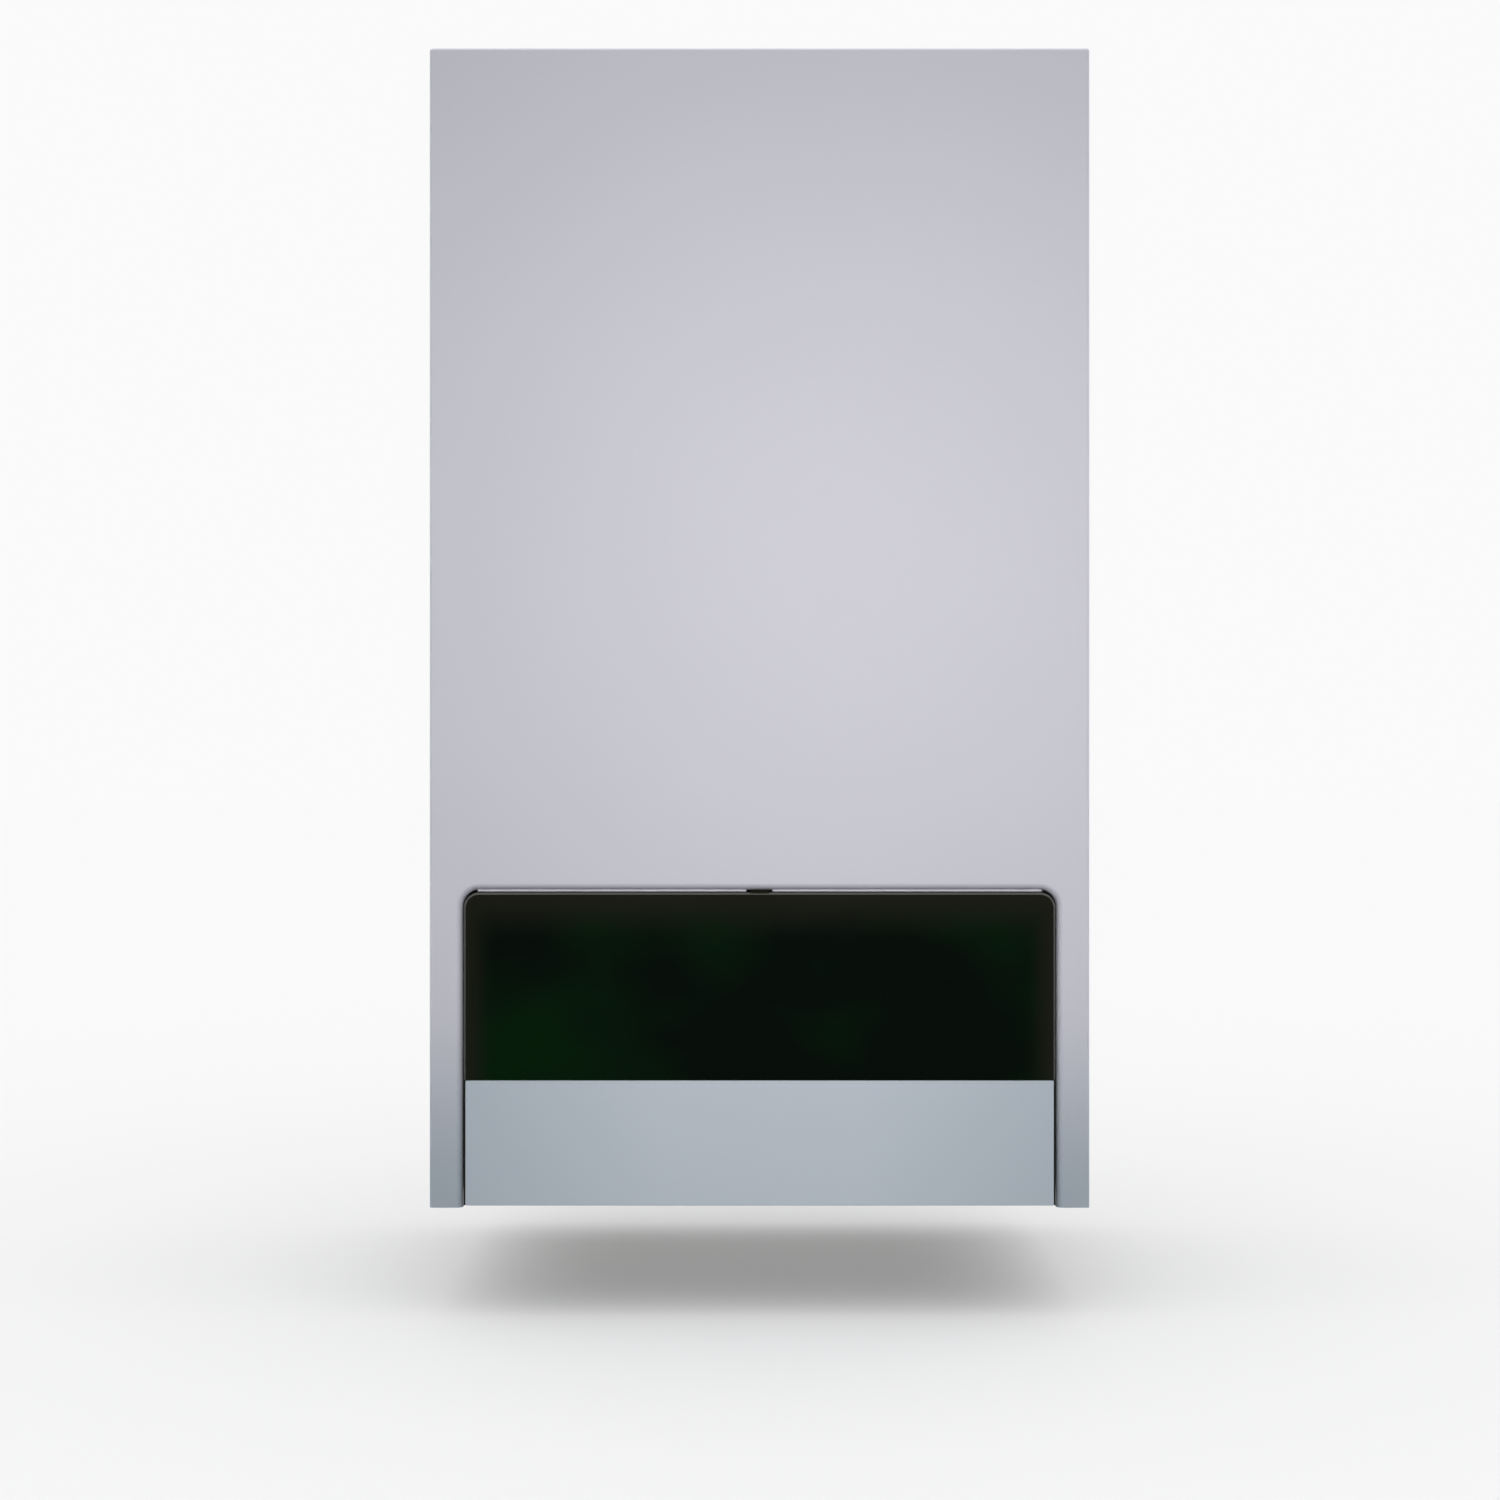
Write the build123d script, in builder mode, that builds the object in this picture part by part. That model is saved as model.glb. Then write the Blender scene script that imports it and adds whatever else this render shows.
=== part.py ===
"""Wall-hung gas combi boiler, built as an assembly of separate pieces.

Frame: x to the right, y into the wall, z up. The origin is the point where the wall plane meets the
middle of the casing's bottom edge, so the front faces -Y. All sizes are in millimetres.
"""

import os

from build123d import *

os.makedirs("parts", exist_ok=True)

# ---------------------------------------------------------------- driving dimensions
# Casing
casing_width = 400.0
casing_height = 703.0
casing_depth = 299.0
casing_sheet = 1.2
casing_bend = 1.8  # outer radius of the bent edges
casing_top_return = 22.0  # depth of the strip that closes the top behind the front
casing_wall_gap = 2.0  # the sides stop short of the wall

# Opening in the casing's front, for the control flap
opening_margin = 20.0
opening_height = 192.5
opening_corner = 10.0
opening_return = 12.0  # depth of the edge turned inwards
opening_bend = 4.0

# Securing tabs and screws under the casing
tab_length = 40.0
tab_setback = 24.0  # from the casing's front to the tab
tab_width = 16.0
screw_radius = 2.0
screw_head_radius = 4.5
screw_head_height = 3.0
screw_slot = 1.2  # width and depth of the cross in a screw's head
screw_slack = 0.3  # left round and over a screw that slides out of its foot
nut_height = 3.0
nut_flats = 7.0

# Rear frame, tray and top panel
frame_sheet = 1.5
frame_clearance = 2.3  # between the casing's side and the frame
frame_standoff = 12.5  # the back plate stands this far off the wall
frame_side_depth = 100.0
frame_foot = 12.0
frame_bottom = 20.0
panel_gap = 2.0  # between the casing's front and the top panel
bead_inset = 16.0
bead_overrun = 20.0
cross_bead_drop = 32.0
cross_bead_pitch = 24.0
top_drop = 8.0  # the top panel lies this far below the casing's top edge
panel_lip = 15.0  # the top panel's front edge hangs down this far
seat_gap = 0.3  # left under a piece that rests on another body
bead_width = 12.0
bead_height = 1.2
tray_side_gap = 12.5  # from the frame's side to the tray's side
tray_rail_bottom = 1.5
tray_rail_top = 50.0
tray_front_gap = 94.0  # from the casing's front to the tray's floor
rail_overrun = 10.0  # the tray's rails reach this far past the control box's pivot
foot_half = 15.0  # half the length of the feet that take the casing's screws

# Wall bracket
bracket_half = 138.0
bracket_height = 38.0
hook_drop = 19.0  # from the top panel down to the hanging edge
hook_spacing = 150.0
hook_width = 30.0
hook_foot = 2.5
hook_lip = 10.0
hook_sheet = 2.0
hook_gap = 0.5
slot_spacing = 220.0
slot_length = 20.0
slot_radius = 4.25
window_half = 22.0  # of each opening in the back plate that a hook passes through
window_height = 36.0

# Sealed combustion chamber
chamber_sheet = 1.0
chamber_side_gap = 22.5
chamber_rear = 85.0
chamber_front_gap = 20.0
chamber_floor = 215.0
cover_seal = 2.0
cover_flange = 14.0
sight_radius = 14.0
sight_glass_radius = 19.0
sight_glass_thickness = 3.0
sight_x = 60.0
sight_rise = 14.0  # above the burner
ear_bottom = 25.0  # from the chamber's floor up to its fixing ears
ear_top = 15.0
cover_top_gap = 3.0
cover_bead_inset = 35.0
cover_bead_corner = 14.0
seal_width = 12.0
screw_grip = 4.0  # how far a screw reaches past the sheet that it holds

# Concentric flue
flue_setback = 176.0  # from the wall
flue_pipe_bore = 30.25
flue_pipe_wall = 1.25
collar_radius = 50.0
collar_wall = 1.5
collar_rise = 21.0  # above the top panel
collar_flange_radius = 66.0
collar_flange = 2.0
flue_screw_spacing = 82.0

# Fan
fan_outlet_drop = 43.0  # from the top panel down to the fan's outlet
fan_throat = 72.0  # from the outlet down to the fan's axis
fan_radius = 62.0
fan_depth = 52.0
fan_wall = 2.0
fan_inlet_radius = 30.0
impeller_radius = 48.0
impeller_depth = 34.0
impeller_blades = 24
fan_shaft_radius = 4.0
fan_motor_radius = 30.0
fan_motor_length = 44.0
fan_motor_flange = 42.0
fan_motor_flange_thickness = 2.0
fan_motor_edge = 4.0
impeller_gap = 3.0
impeller_hub = 9.0
impeller_hub_length = 14.0
impeller_rim = 9.0
blade_chord = 7.0
blade_thickness = 1.2

# Flue hood, heat exchanger and burner, stacked below the fan
hood_box_depth = 46.0
hood_box_inset = 4.0
hood_taper = 46.0
hood_sheet = 1.0
exchanger_width = 222.0
exchanger_depth = 150.0
exchanger_height = 56.0
fin_pitch = 8.0
fin_thickness = 0.8
end_plate = 2.0
tube_radius = 8.0
tube_wall = 1.0
tube_rows = 5
tube_pitch = 30.0
tube_overhang = 18.0  # from the end plate to the tube's ends
tube_turn = 14.0  # from the end plate to the start of a return bend
riser_gap = 20.0  # from the tube's ends to the pipes that rise beside it
burner_clear = 47.0  # from the chamber's floor up to the burner
jacket_sheet = 1.0
board_thickness = 12.0
jacket_gap = 6.0  # round the heat exchanger's depth
jacket_side_gap = 10.0
jacket_leg_half = 12.0
jacket_leg_x = 60.0
jacket_leg_height = 40.0
burner_count = 11
burner_pitch = 18.0
burner_width = 9.0
burner_height = 30.0
burner_drop = 4.0  # below the insulation
burner_front_overrun = 8.0
burner_slot = 2.0
burner_slot_depth = 6.0
burner_rail = 3.0
manifold_size = 16.0
manifold_wall = 1.5
manifold_overrun = 14.0
manifold_gap = 2.0
nozzle_radius = 3.0
nozzle_height = 5.0
nozzle_bore = 0.6
electrode_radius = 4.0
electrode_spacing = 28.0
electrode_wire = 1.2
electrode_tip = 12.0
electrode_reach = 8.0
electrode_rise = 12.0  # above the insulation's foot

# Air pressure switch and its hoses
pressure_switch_radius = 26.0
pressure_switch_base = 30.0
pressure_switch_rim = 32.0
pressure_switch_base_depth = 10.0
pressure_switch_depth = 26.0
pressure_switch_setback = 49.0  # from the chamber's front
pressure_switch_rise = 40.0  # above the fan's axis
hose_radius = 4.0
hose_wall = 1.5
hose_stub_length = 8.0
hose_straight = 14.0
hose_bend = 7.0
hose_port_spread = 10.0
hood_hose_rise = 20.0

# Expansion vessel
vessel_radius = 160.0
vessel_depth = 62.0
vessel_corner = 25.0
vessel_wall = 1.5
vessel_rim = 6.0
vessel_drop = 245.0  # from the top panel down to its centre
diaphragm = 1.5
vessel_port_offset = 13.0  # in front of the vessel's middle
vessel_port_drop = 14.0
vessel_port_length = 17.0

# Hydraulics
tail_spacing = 65.0
tail_setback = 95.0
tail_drop = 14.0  # below the casing
large_thread = 13.2  # radius of a 3/4 inch thread
small_thread = 10.5  # radius of a 1/2 inch thread
block_bottom = 38.0
flow_block_height = 50.0
return_block_height = 34.0
arm_height = 46.0
block_front = 127.0
block_rear = 60.0
arm_front = 110.0
arm_rear = 54.0
block_inner = 98.0
block_outer = 162.0
arm_inner = 50.0
pump_radius = 42.0
pump_depth = 40.0
pump_motor_radius = 37.0
pump_motor_length = 65.0
pump_motor_edge = 6.0
pump_flange = 6.0
pump_cavity = 32.0
pump_back = 8.0  # thickness of the housing behind the impeller
pump_port_radius = 14.0
pump_port_bore = 8.0
pump_port_rise = 4.0
pump_box_half = 22.0  # the motor's terminal box
pump_box_length = 40.0
pump_box_depth = 9.0
pump_impeller_radius = 28.0
pump_impeller_height = 12.0
pump_shaft_radius = 4.0
vent_offset = 26.0
vent_radius = 11.0
vent_height = 32.0
vent_cap_radius = 4.5
vent_cap_height = 8.0
pipe_radius = 9.0
pipe_wall = 1.0
pipe_bend = 15.0
pipe_gap = 1.5
branch_bend = 14.0
wide_bend = 30.0
vessel_pipe_radius = 5.0
exchanger_plates = 14
plate_corner = 14.0
plate_inset = 3.0
plate_pack_rise = 4.0
plate_pack_half = 97.0
plate_pack_height = 70.0
plate_pack_depth = 38.0
valve_cavity_radius = 12.0
valve_travel = 12.0
valve_disc_radius = 10.0
valve_disc = 4.0
valve_seat_height = 14.0
spindle_radius = 3.0
spindle_overrun = 20.0
diverter_half = 20.0
diverter_height = 44.0
diverter_front = 24.0
diverter_rear = 14.5
diverter_plug_half = 8.0
diverter_plug_depth = 6.0
gas_valve_half = 32.0
gas_valve_bottom = 62.0
gas_valve_height = 78.0
gas_valve_corner = 5.0
gas_valve_bore = 8.0
coil_edge = 7.0
coil_neck = 6.0
coil_radius = 14.0
coil_spacing = 31.0
coil_length = 34.0
knob_bore_clearance = 0.1
relief_radius = 12.0
relief_length = 23.0
relief_height = 24.0  # from the flow block's foot to the valve's axis
relief_outlet_radius = 7.0
relief_outlet_drop = 8.0
relief_outlet_thread = 12.0
relief_nut_height = 8.0
relief_knob_radius = 15.0
relief_knob_length = 18.0
knob_stem = 10.0  # how far a valve's stem reaches into its knob
knob_flute = 4.0
knob_flute_offset = 1.5
knob_gap = 0.3
filling_radius = 9.0
filling_drop = 14.0
filling_nut_flats = 20.0
filling_nut_height = 8.0
filling_stem = 12.0
filling_knob_radius = 13.0
filling_knob_height = 14.0
gland_radius = 10.0
gland_inset = 34.0  # from the tray's side
gland_setback = 30.0  # from the front of the tray's floor
gland_drop = 12.0
gland_rise = 10.0
gland_flats = 24.0
gland_nut = 8.0
gland_lock_nut = 5.0
gland_bore = 4.0
tail_nut_height = 10.0
tail_nut_gap = 2.0  # below the tray

# Control box and what it carries
box_side_gap = 4.0  # from the opening's edge
box_front_gap = 7.0  # from the casing's front
box_rear_gap = 87.0
box_bottom = 8.0
box_top_gap = 5.5
box_slope = 9.0  # the box's top falls this far towards its rear
box_slope_start = 20.0  # behind the pivot
box_wall = 2.5
vent_slot_length = 70.0
vent_slot_height = 4.0
vent_slot_pitch = 12.0
vent_slot_spacing = 120.0
box_pivot_setback = 29.0  # from the casing's front
box_pivot_height = 20.0
box_pin_radius = 3.0
notch_height = 24.0  # cut out of the box's lower front corner for the flap's hinge
notch_depth = 14.5
fascia_gap = 0.2
fascia_wall = 2.0
fascia_floor = 2.5
fascia_recess = 13.0
board_gap = 14.5  # from the fascia's rear to the circuit board
circuit_board_thickness = 1.6
board_inset = 15.3  # from the fascia's side to the board's
board_rise = 12.0  # above the box's foot
board_top_gap = 21.0
board_post_radius = 3.5
board_post_inset = 6.0
board_post_drop = 10.0
part_foot = 20.0  # from the board's lower edge up to its larger parts
transformer_width = 50.0
transformer_height = 42.0
transformer_depth = 30.0
relay_width = 20.0
relay_depth = 16.0
relay_pitch = 26.0
capacitor_radius = 7.0
capacitor_length = 24.0
capacitor_pitch = 18.0
strip_depth = 12.0
strip_height = 10.0
strip_foot = 4.0
processor_width = 40.0
processor_height = 30.0
processor_depth = 8.0
dial_sensor_radius = 8.0
dial_sensor_depth = 10.0
key_switch_half = 6.0
key_switch_depth = 3.5

# Flap
flap_gap = 0.7
flap_bottom = 1.5
flap_top_gap = 1.5
flap_proud = 1.0
flap_thickness = 3.5
flap_bevel = 1.2
flap_rim = 2.0
flap_rim_depth = 3.0
plate_height = 77.2  # top edge of the light lower plate
plate_thickness = 1.6
plate_gap = 1.8  # from the opening's edge
catch_width = 11.6
catch_height = 1.2
flap_pin_radius = 2.5
flap_axis_setback = 8.0  # from the casing's front
flap_axis_height = 10.0
lug_radius = 4.8
lug_width = 5.0
lug_outer_inset = 6.0
lug_gap = 0.7
pin_overrun = 0.6
box_pin_overrun = 1.0

# Controls on the fascia
gauge_inset = 48.3  # from the fascia's side
gauge_height = 118.0
gauge_radius = 21.0
gauge_rim = 5.0
gauge_depth = 24.0
gauge_stub_radius = 4.0
gauge_stub = 10.0
gauge_post_radius = 0.8
needle_hub = 2.6
needle_width = 1.2
needle_length = 17.0
needle_offset = 5.0
needle_thickness = 0.8
display_width = 84.0
display_height = 34.0
display_z = 128.0
display_lip = 3.0
display_depth = 6.0
display_peg_radius = 2.0
button_spacing = 44.0
button_z = 86.0
button_radius = 6.0
button_travel = 1.5
button_rise = 4.0  # in front of the fascia's face
button_collar = 2.0
button_collar_depth = 1.5
button_gap = 0.3
knob_inset = 35.3  # from the fascia's side to the right knob
knob_spacing = 54.0
knob_z = 112.0
knob_radius = 19.0
knob_height = 13.0
knob_edge = 1.5
knob_groove = 2.0
knob_groove_offset = 1.2
knob_grooves = 24
knob_skirt = 3.0
pointer_length = 8.0
pointer_width = 2.0
pointer_height = 1.6
pointer_inset = 7.0
knob_shaft_radius = 3.0
switch_z = 56.0
switch_width = 18.0
switch_height = 26.0
switch_rise = 3.0
switch_heel_half = 7.0
switch_heel = 5.0
switch_gap = 1.2
switch_room_half = 16.0
switch_room_half_width = 12.0
switch_pin_radius = 1.5
switch_pin_overrun = 4.0
switch_ear = 4.0
switch_ear_gap = 0.5
switch_ear_depth = 8.0
switch_ear_half = 5.0
switch_tilt = 8.0

# ---------------------------------------------------------------- places worked out from them
fit = 0.1  # radial running clearance
slip = 0.5  # clearance round a pipe in a sheet
front = -casing_depth
half = casing_width / 2
inner_half = half - casing_sheet
frame_half = inner_half - frame_clearance
frame_inner = frame_half - frame_sheet
frame_top = casing_height - top_drop
panel_under = frame_top - frame_sheet
plate_rear = -frame_standoff
plate_front = plate_rear - frame_sheet
opening_half = half - opening_margin
tray_half = frame_half - tray_side_gap
tray_front = front + tray_front_gap
screw_x = inner_half - tab_width / 2
screw_y = front + tab_setback + tab_length / 2
hook_z = frame_top - hook_drop
slot_z = hook_z - bracket_height / 2

chamber_half = frame_half - chamber_side_gap
chamber_front = front + chamber_front_gap
chamber_back = -chamber_rear
cover_rear = chamber_front - cover_seal
cover_front = cover_rear - casing_sheet
flue_y = -flue_setback
fan_outlet_z = frame_top - fan_outlet_drop
fan_z = fan_outlet_z - fan_throat
flue_pipe_radius = flue_pipe_bore + flue_pipe_wall
fan_x = flue_pipe_radius - fan_radius
fan_rear = flue_y + fan_depth / 2
fan_front = fan_rear - fan_depth
hood_shoulder = fan_z - fan_radius - fan_wall
exchanger_top = hood_shoulder - hood_taper
exchanger_bottom = exchanger_top - exchanger_height
exchanger_z = (exchanger_top + exchanger_bottom) / 2
exchanger_y = (chamber_front + chamber_back) / 2
burner_bottom = chamber_floor + burner_clear
burner_top = burner_bottom + burner_height
board_bottom = burner_top + burner_drop
jacket_bottom = burner_bottom - burner_drop
jacket_half = exchanger_width / 2 + jacket_side_gap + jacket_sheet
jacket_front = exchanger_y - exchanger_depth / 2 - jacket_gap - jacket_sheet
jacket_rear = exchanger_y + exchanger_depth / 2 + jacket_gap + jacket_sheet
manifold_top = burner_bottom - nozzle_height - 1
manifold_y = jacket_front + jacket_sheet + manifold_gap + manifold_size / 2
tube_end = exchanger_width / 2 + tube_overhang
riser_x = tube_end + riser_gap
rear_tube_y = exchanger_y + (tube_rows - 1) / 2 * tube_pitch
front_tube_y = exchanger_y - (tube_rows - 1) / 2 * tube_pitch
vessel_z = frame_top - vessel_drop
vessel_rear = plate_front
vessel_front = vessel_rear - vessel_depth
vessel_mid = (vessel_rear + vessel_front) / 2

tail_y = -tail_setback
gas_top = gas_valve_bottom + gas_valve_height
pump_x = 2 * tail_spacing
pump_z = block_bottom + return_block_height + pump_radius
pump_front = tail_y - pump_depth / 2
pump_top = pump_z + pump_radius + pump_port_rise
flow_x = -2 * tail_spacing
flow_block_top = block_bottom + flow_block_height
return_block_top = block_bottom + return_block_height
cross_run_z = chamber_floor - pipe_bend - pipe_gap

box_half = opening_half - box_side_gap
box_front = front + box_front_gap
box_rear = front + box_rear_gap
box_top = opening_height - box_top_gap
box_pivot_y = front + box_pivot_setback
notch_rear = box_front + notch_depth
fascia_half = box_half - box_wall - fascia_gap
fascia_bottom = notch_height + box_wall + fascia_gap
fascia_top = box_top - box_wall - fascia_gap
fascia_face = box_front + fascia_recess
fascia_back = fascia_face + fascia_floor
board_front = fascia_back + board_gap
board_back = board_front + circuit_board_thickness

flap_half = opening_half - flap_gap
flap_top = opening_height - flap_top_gap
flap_front = front - flap_proud
flap_back = flap_front + flap_thickness
flap_axis_y = front + flap_axis_setback
plate_half = opening_half - plate_gap
lug_outer = flap_half - lug_outer_inset
inner_lug = lug_outer - 3 * lug_width - 2 * lug_gap
gauge_x = gauge_inset - fascia_half
switch_x = gauge_x
hot_water_knob_x = fascia_half - knob_inset
heating_knob_x = hot_water_knob_x - knob_spacing


# ---------------------------------------------------------------- small helpers
def block(x0, x1, y0, y1, z0, z1, mode=Mode.ADD):
    """A box between two corners."""
    with Locations(((x0 + x1) / 2, (y0 + y1) / 2, (z0 + z1) / 2)):
        Box(abs(x1 - x0), abs(y1 - y0), abs(z1 - z0), mode=mode)


def facing_front(x, y, z):
    """A plane whose normal is -Y, with x to the right and z up."""
    return Plane(origin=(x, y, z), x_dir=(1, 0, 0), z_dir=(0, -1, 0))


def facing_right(x, y, z):
    """A plane whose normal is +X, with y and z as its axes."""
    return Plane(origin=(x, y, z), x_dir=(0, 1, 0), z_dir=(1, 0, 0))


def facing_up(x, y, z):
    """A plane whose normal is +Z."""
    return Plane(origin=(x, y, z), x_dir=(1, 0, 0), z_dir=(0, 0, 1))


def bar(plane, radius, length, bore=0.0, mode=Mode.ADD):
    """A round bar, or a tube where it has a bore, standing on a plane."""
    with BuildSketch(plane) as end:
        Circle(radius)
        if bore:
            Circle(bore, mode=Mode.SUBTRACT)
    extrude(end.sketch, amount=length, mode=mode)


def hex_bar(plane, across_flats, length, bore=0.0):
    """A hexagon standing on a plane, sized across its flats."""
    with BuildSketch(plane) as end:
        RegularPolygon(across_flats / 2, 6, major_radius=False)
        if bore:
            Circle(bore, mode=Mode.SUBTRACT)
    extrude(end.sketch, amount=length)


def pipe_run(points, radii, radius, wall):
    """A bent tube: straight runs joined by tangent arcs."""
    with BuildLine() as route:
        path = FilletPolyline(*points, radius=radii)
    with BuildSketch(Plane(origin=path @ 0, z_dir=path % 0)) as ring:
        Circle(radius)
        if wall:
            Circle(radius - wall, mode=Mode.SUBTRACT)
    sweep(ring.sketch, path=route.wire())


def keep(piece, node):
    """Labels a finished piece and writes it as a STEP file."""
    piece.part.label = node
    export_step(piece.part, f"parts/{node}.step")


# ---------------------------------------------------------------- wall bracket and frame
def make_wall_bracket():
    hook_reach = plate_front - hook_gap - hook_sheet
    with BuildPart() as wall_bracket:
        block(-bracket_half, bracket_half, -frame_sheet, 0, hook_z - bracket_height, hook_z)
        for side in (-1, 1):
            x = side * hook_spacing / 2
            left, right = x - hook_width / 2, x + hook_width / 2
            block(left, right, hook_reach, -frame_sheet, hook_z - hook_foot, hook_z)
            block(left, right, hook_reach, hook_reach + hook_sheet, hook_z, hook_z + hook_lip)
        with BuildSketch(facing_front(0, 0, slot_z)):
            with GridLocations(slot_spacing, 0, 2, 1):
                SlotOverall(slot_length, 2 * slot_radius)
        extrude(amount=frame_sheet, mode=Mode.SUBTRACT)
    keep(wall_bracket, "wall_bracket")


def make_rear_frame():
    side_bead = 2 * (vessel_radius + bead_overrun)
    cross_bead = 2 * vessel_radius - bead_overrun
    cross_z = vessel_z - vessel_radius - cross_bead_drop
    bead_places = (
        (frame_half - bead_inset, vessel_z, 90, side_bead),
        (-frame_half + bead_inset, vessel_z, 90, side_bead),
        (0, cross_z, 0, cross_bead),
        (0, cross_z - cross_bead_pitch, 0, cross_bead),
    )
    with BuildPart() as rear_frame:
        block(-frame_half, frame_half, plate_front, plate_rear, 0, panel_under)
        block(-frame_half, frame_half, plate_front, 0, 0, frame_sheet)
        block(-frame_half, frame_half, -frame_sheet, 0, 0, frame_foot)
        for side in (-1, 1):
            outer, inner = side * frame_half, side * frame_inner
            block(inner, outer, -frame_side_depth, 0, 0, panel_under)
            block(side * (frame_half - frame_foot), outer, -frame_sheet, 0, 0, panel_under)
            hook = side * hook_spacing / 2
            block(hook - window_half, hook + window_half, plate_front, plate_rear,
                  hook_z - window_height, hook_z, Mode.SUBTRACT)
        for x, z, turn, length in bead_places:
            with BuildSketch(facing_front(x, plate_front, z)):
                SlotOverall(length, bead_width, rotation=turn)
            extrude(amount=bead_height)
            with BuildSketch(facing_front(x, plate_rear, z)):
                SlotOverall(length - 2 * frame_sheet, bead_width - 2 * frame_sheet, rotation=turn)
            extrude(amount=bead_height, mode=Mode.SUBTRACT)
    keep(rear_frame, "rear_frame")


def make_top_panel():
    edge = front + casing_sheet + panel_gap
    with BuildPart() as top_panel:
        block(-frame_half, frame_half, edge, 0, panel_under, frame_top)
        block(-frame_half, frame_half, edge, edge + frame_sheet, frame_top - panel_lip,
              casing_height - casing_sheet - seat_gap)
        with Locations(facing_up(0, flue_y, panel_under)):
            Cylinder(collar_radius - collar_wall, 3 * frame_sheet, mode=Mode.SUBTRACT)
        with Locations(facing_up(0, flue_y, panel_under)):
            with GridLocations(flue_screw_spacing, flue_screw_spacing, 2, 2):
                Cylinder(screw_radius + fit, 3 * frame_sheet, mode=Mode.SUBTRACT)
    keep(top_panel, "top_panel")


def make_bottom_tray():
    rail_front = box_pivot_y - rail_overrun
    foot_front = screw_y - foot_half
    floor_top = frame_bottom + frame_sheet
    with BuildPart() as bottom_tray:
        block(-tray_half, tray_half, tray_front, plate_front, frame_bottom, floor_top)
        block(-tray_half, tray_half, plate_front - frame_sheet, plate_front, frame_bottom, tray_rail_top)
        for side in (-1, 1):
            outer = side * tray_half
            inner = side * (tray_half - frame_sheet)
            block(inner, outer, rail_front, plate_front, tray_rail_bottom, tray_rail_top)
            block(outer, side * frame_half, foot_front, screw_y + foot_half, tray_rail_bottom,
                  tray_rail_bottom + frame_sheet)
            notch = side * screw_x
            reach = screw_radius + screw_slack
            block(notch - reach, notch + reach, foot_front - 1, screw_y, tray_rail_bottom,
                  tray_rail_bottom + frame_sheet, Mode.SUBTRACT)
            with Locations((notch, screw_y, tray_rail_bottom)):
                Cylinder(reach, 4 * frame_sheet, mode=Mode.SUBTRACT)
        with BuildSketch(facing_right(-half, box_pivot_y, box_pivot_height)):
            Circle(box_pin_radius + fit)
        extrude(amount=casing_width, mode=Mode.SUBTRACT)
        for index, neck in enumerate(tail_necks):
            with Locations(((index - 2) * tail_spacing, tail_y, frame_bottom)):
                Cylinder(neck + slip, 4 * frame_sheet, mode=Mode.SUBTRACT)
        with Locations((filling_x, tail_y, frame_bottom)):
            Cylinder(filling_radius + slip, 4 * frame_sheet, mode=Mode.SUBTRACT)
        with Locations((flow_x, relief_outlet_y, frame_bottom)):
            Cylinder(relief_outlet_radius + slip, 4 * frame_sheet, mode=Mode.SUBTRACT)
        with Locations((gland_x, gland_y, frame_bottom)):
            Cylinder(gland_radius + fit, 4 * frame_sheet, mode=Mode.SUBTRACT)
    keep(bottom_tray, "bottom_tray")


# ---------------------------------------------------------------- sealed chamber and flue
def make_chamber_shell():
    with BuildPart() as chamber_shell:
        block(-chamber_half, chamber_half, chamber_front, chamber_back, chamber_floor, panel_under)
        block(-chamber_half + chamber_sheet, chamber_half - chamber_sheet, chamber_front,
              chamber_back - chamber_sheet, chamber_floor + chamber_sheet,
              panel_under - chamber_sheet, Mode.SUBTRACT)
        for side in (-1, 1):
            block(side * chamber_half, side * frame_inner, chamber_back - chamber_sheet, chamber_back,
                  chamber_floor + ear_bottom, panel_under - ear_top)
        with Locations(facing_up(0, flue_y, panel_under)):
            Cylinder(collar_radius - collar_wall, 4 * chamber_sheet, mode=Mode.SUBTRACT)
            with GridLocations(flue_screw_spacing, flue_screw_spacing, 2, 2):
                Cylinder(screw_radius + fit, 4 * chamber_sheet, mode=Mode.SUBTRACT)
        with Locations((0, manifold_y, chamber_floor), (-riser_x, rear_tube_y, chamber_floor),
                       (riser_x, rear_tube_y, chamber_floor)):
            Cylinder(pipe_radius + slip, 4 * chamber_sheet, mode=Mode.SUBTRACT)
    keep(chamber_shell, "chamber_shell")


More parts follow.
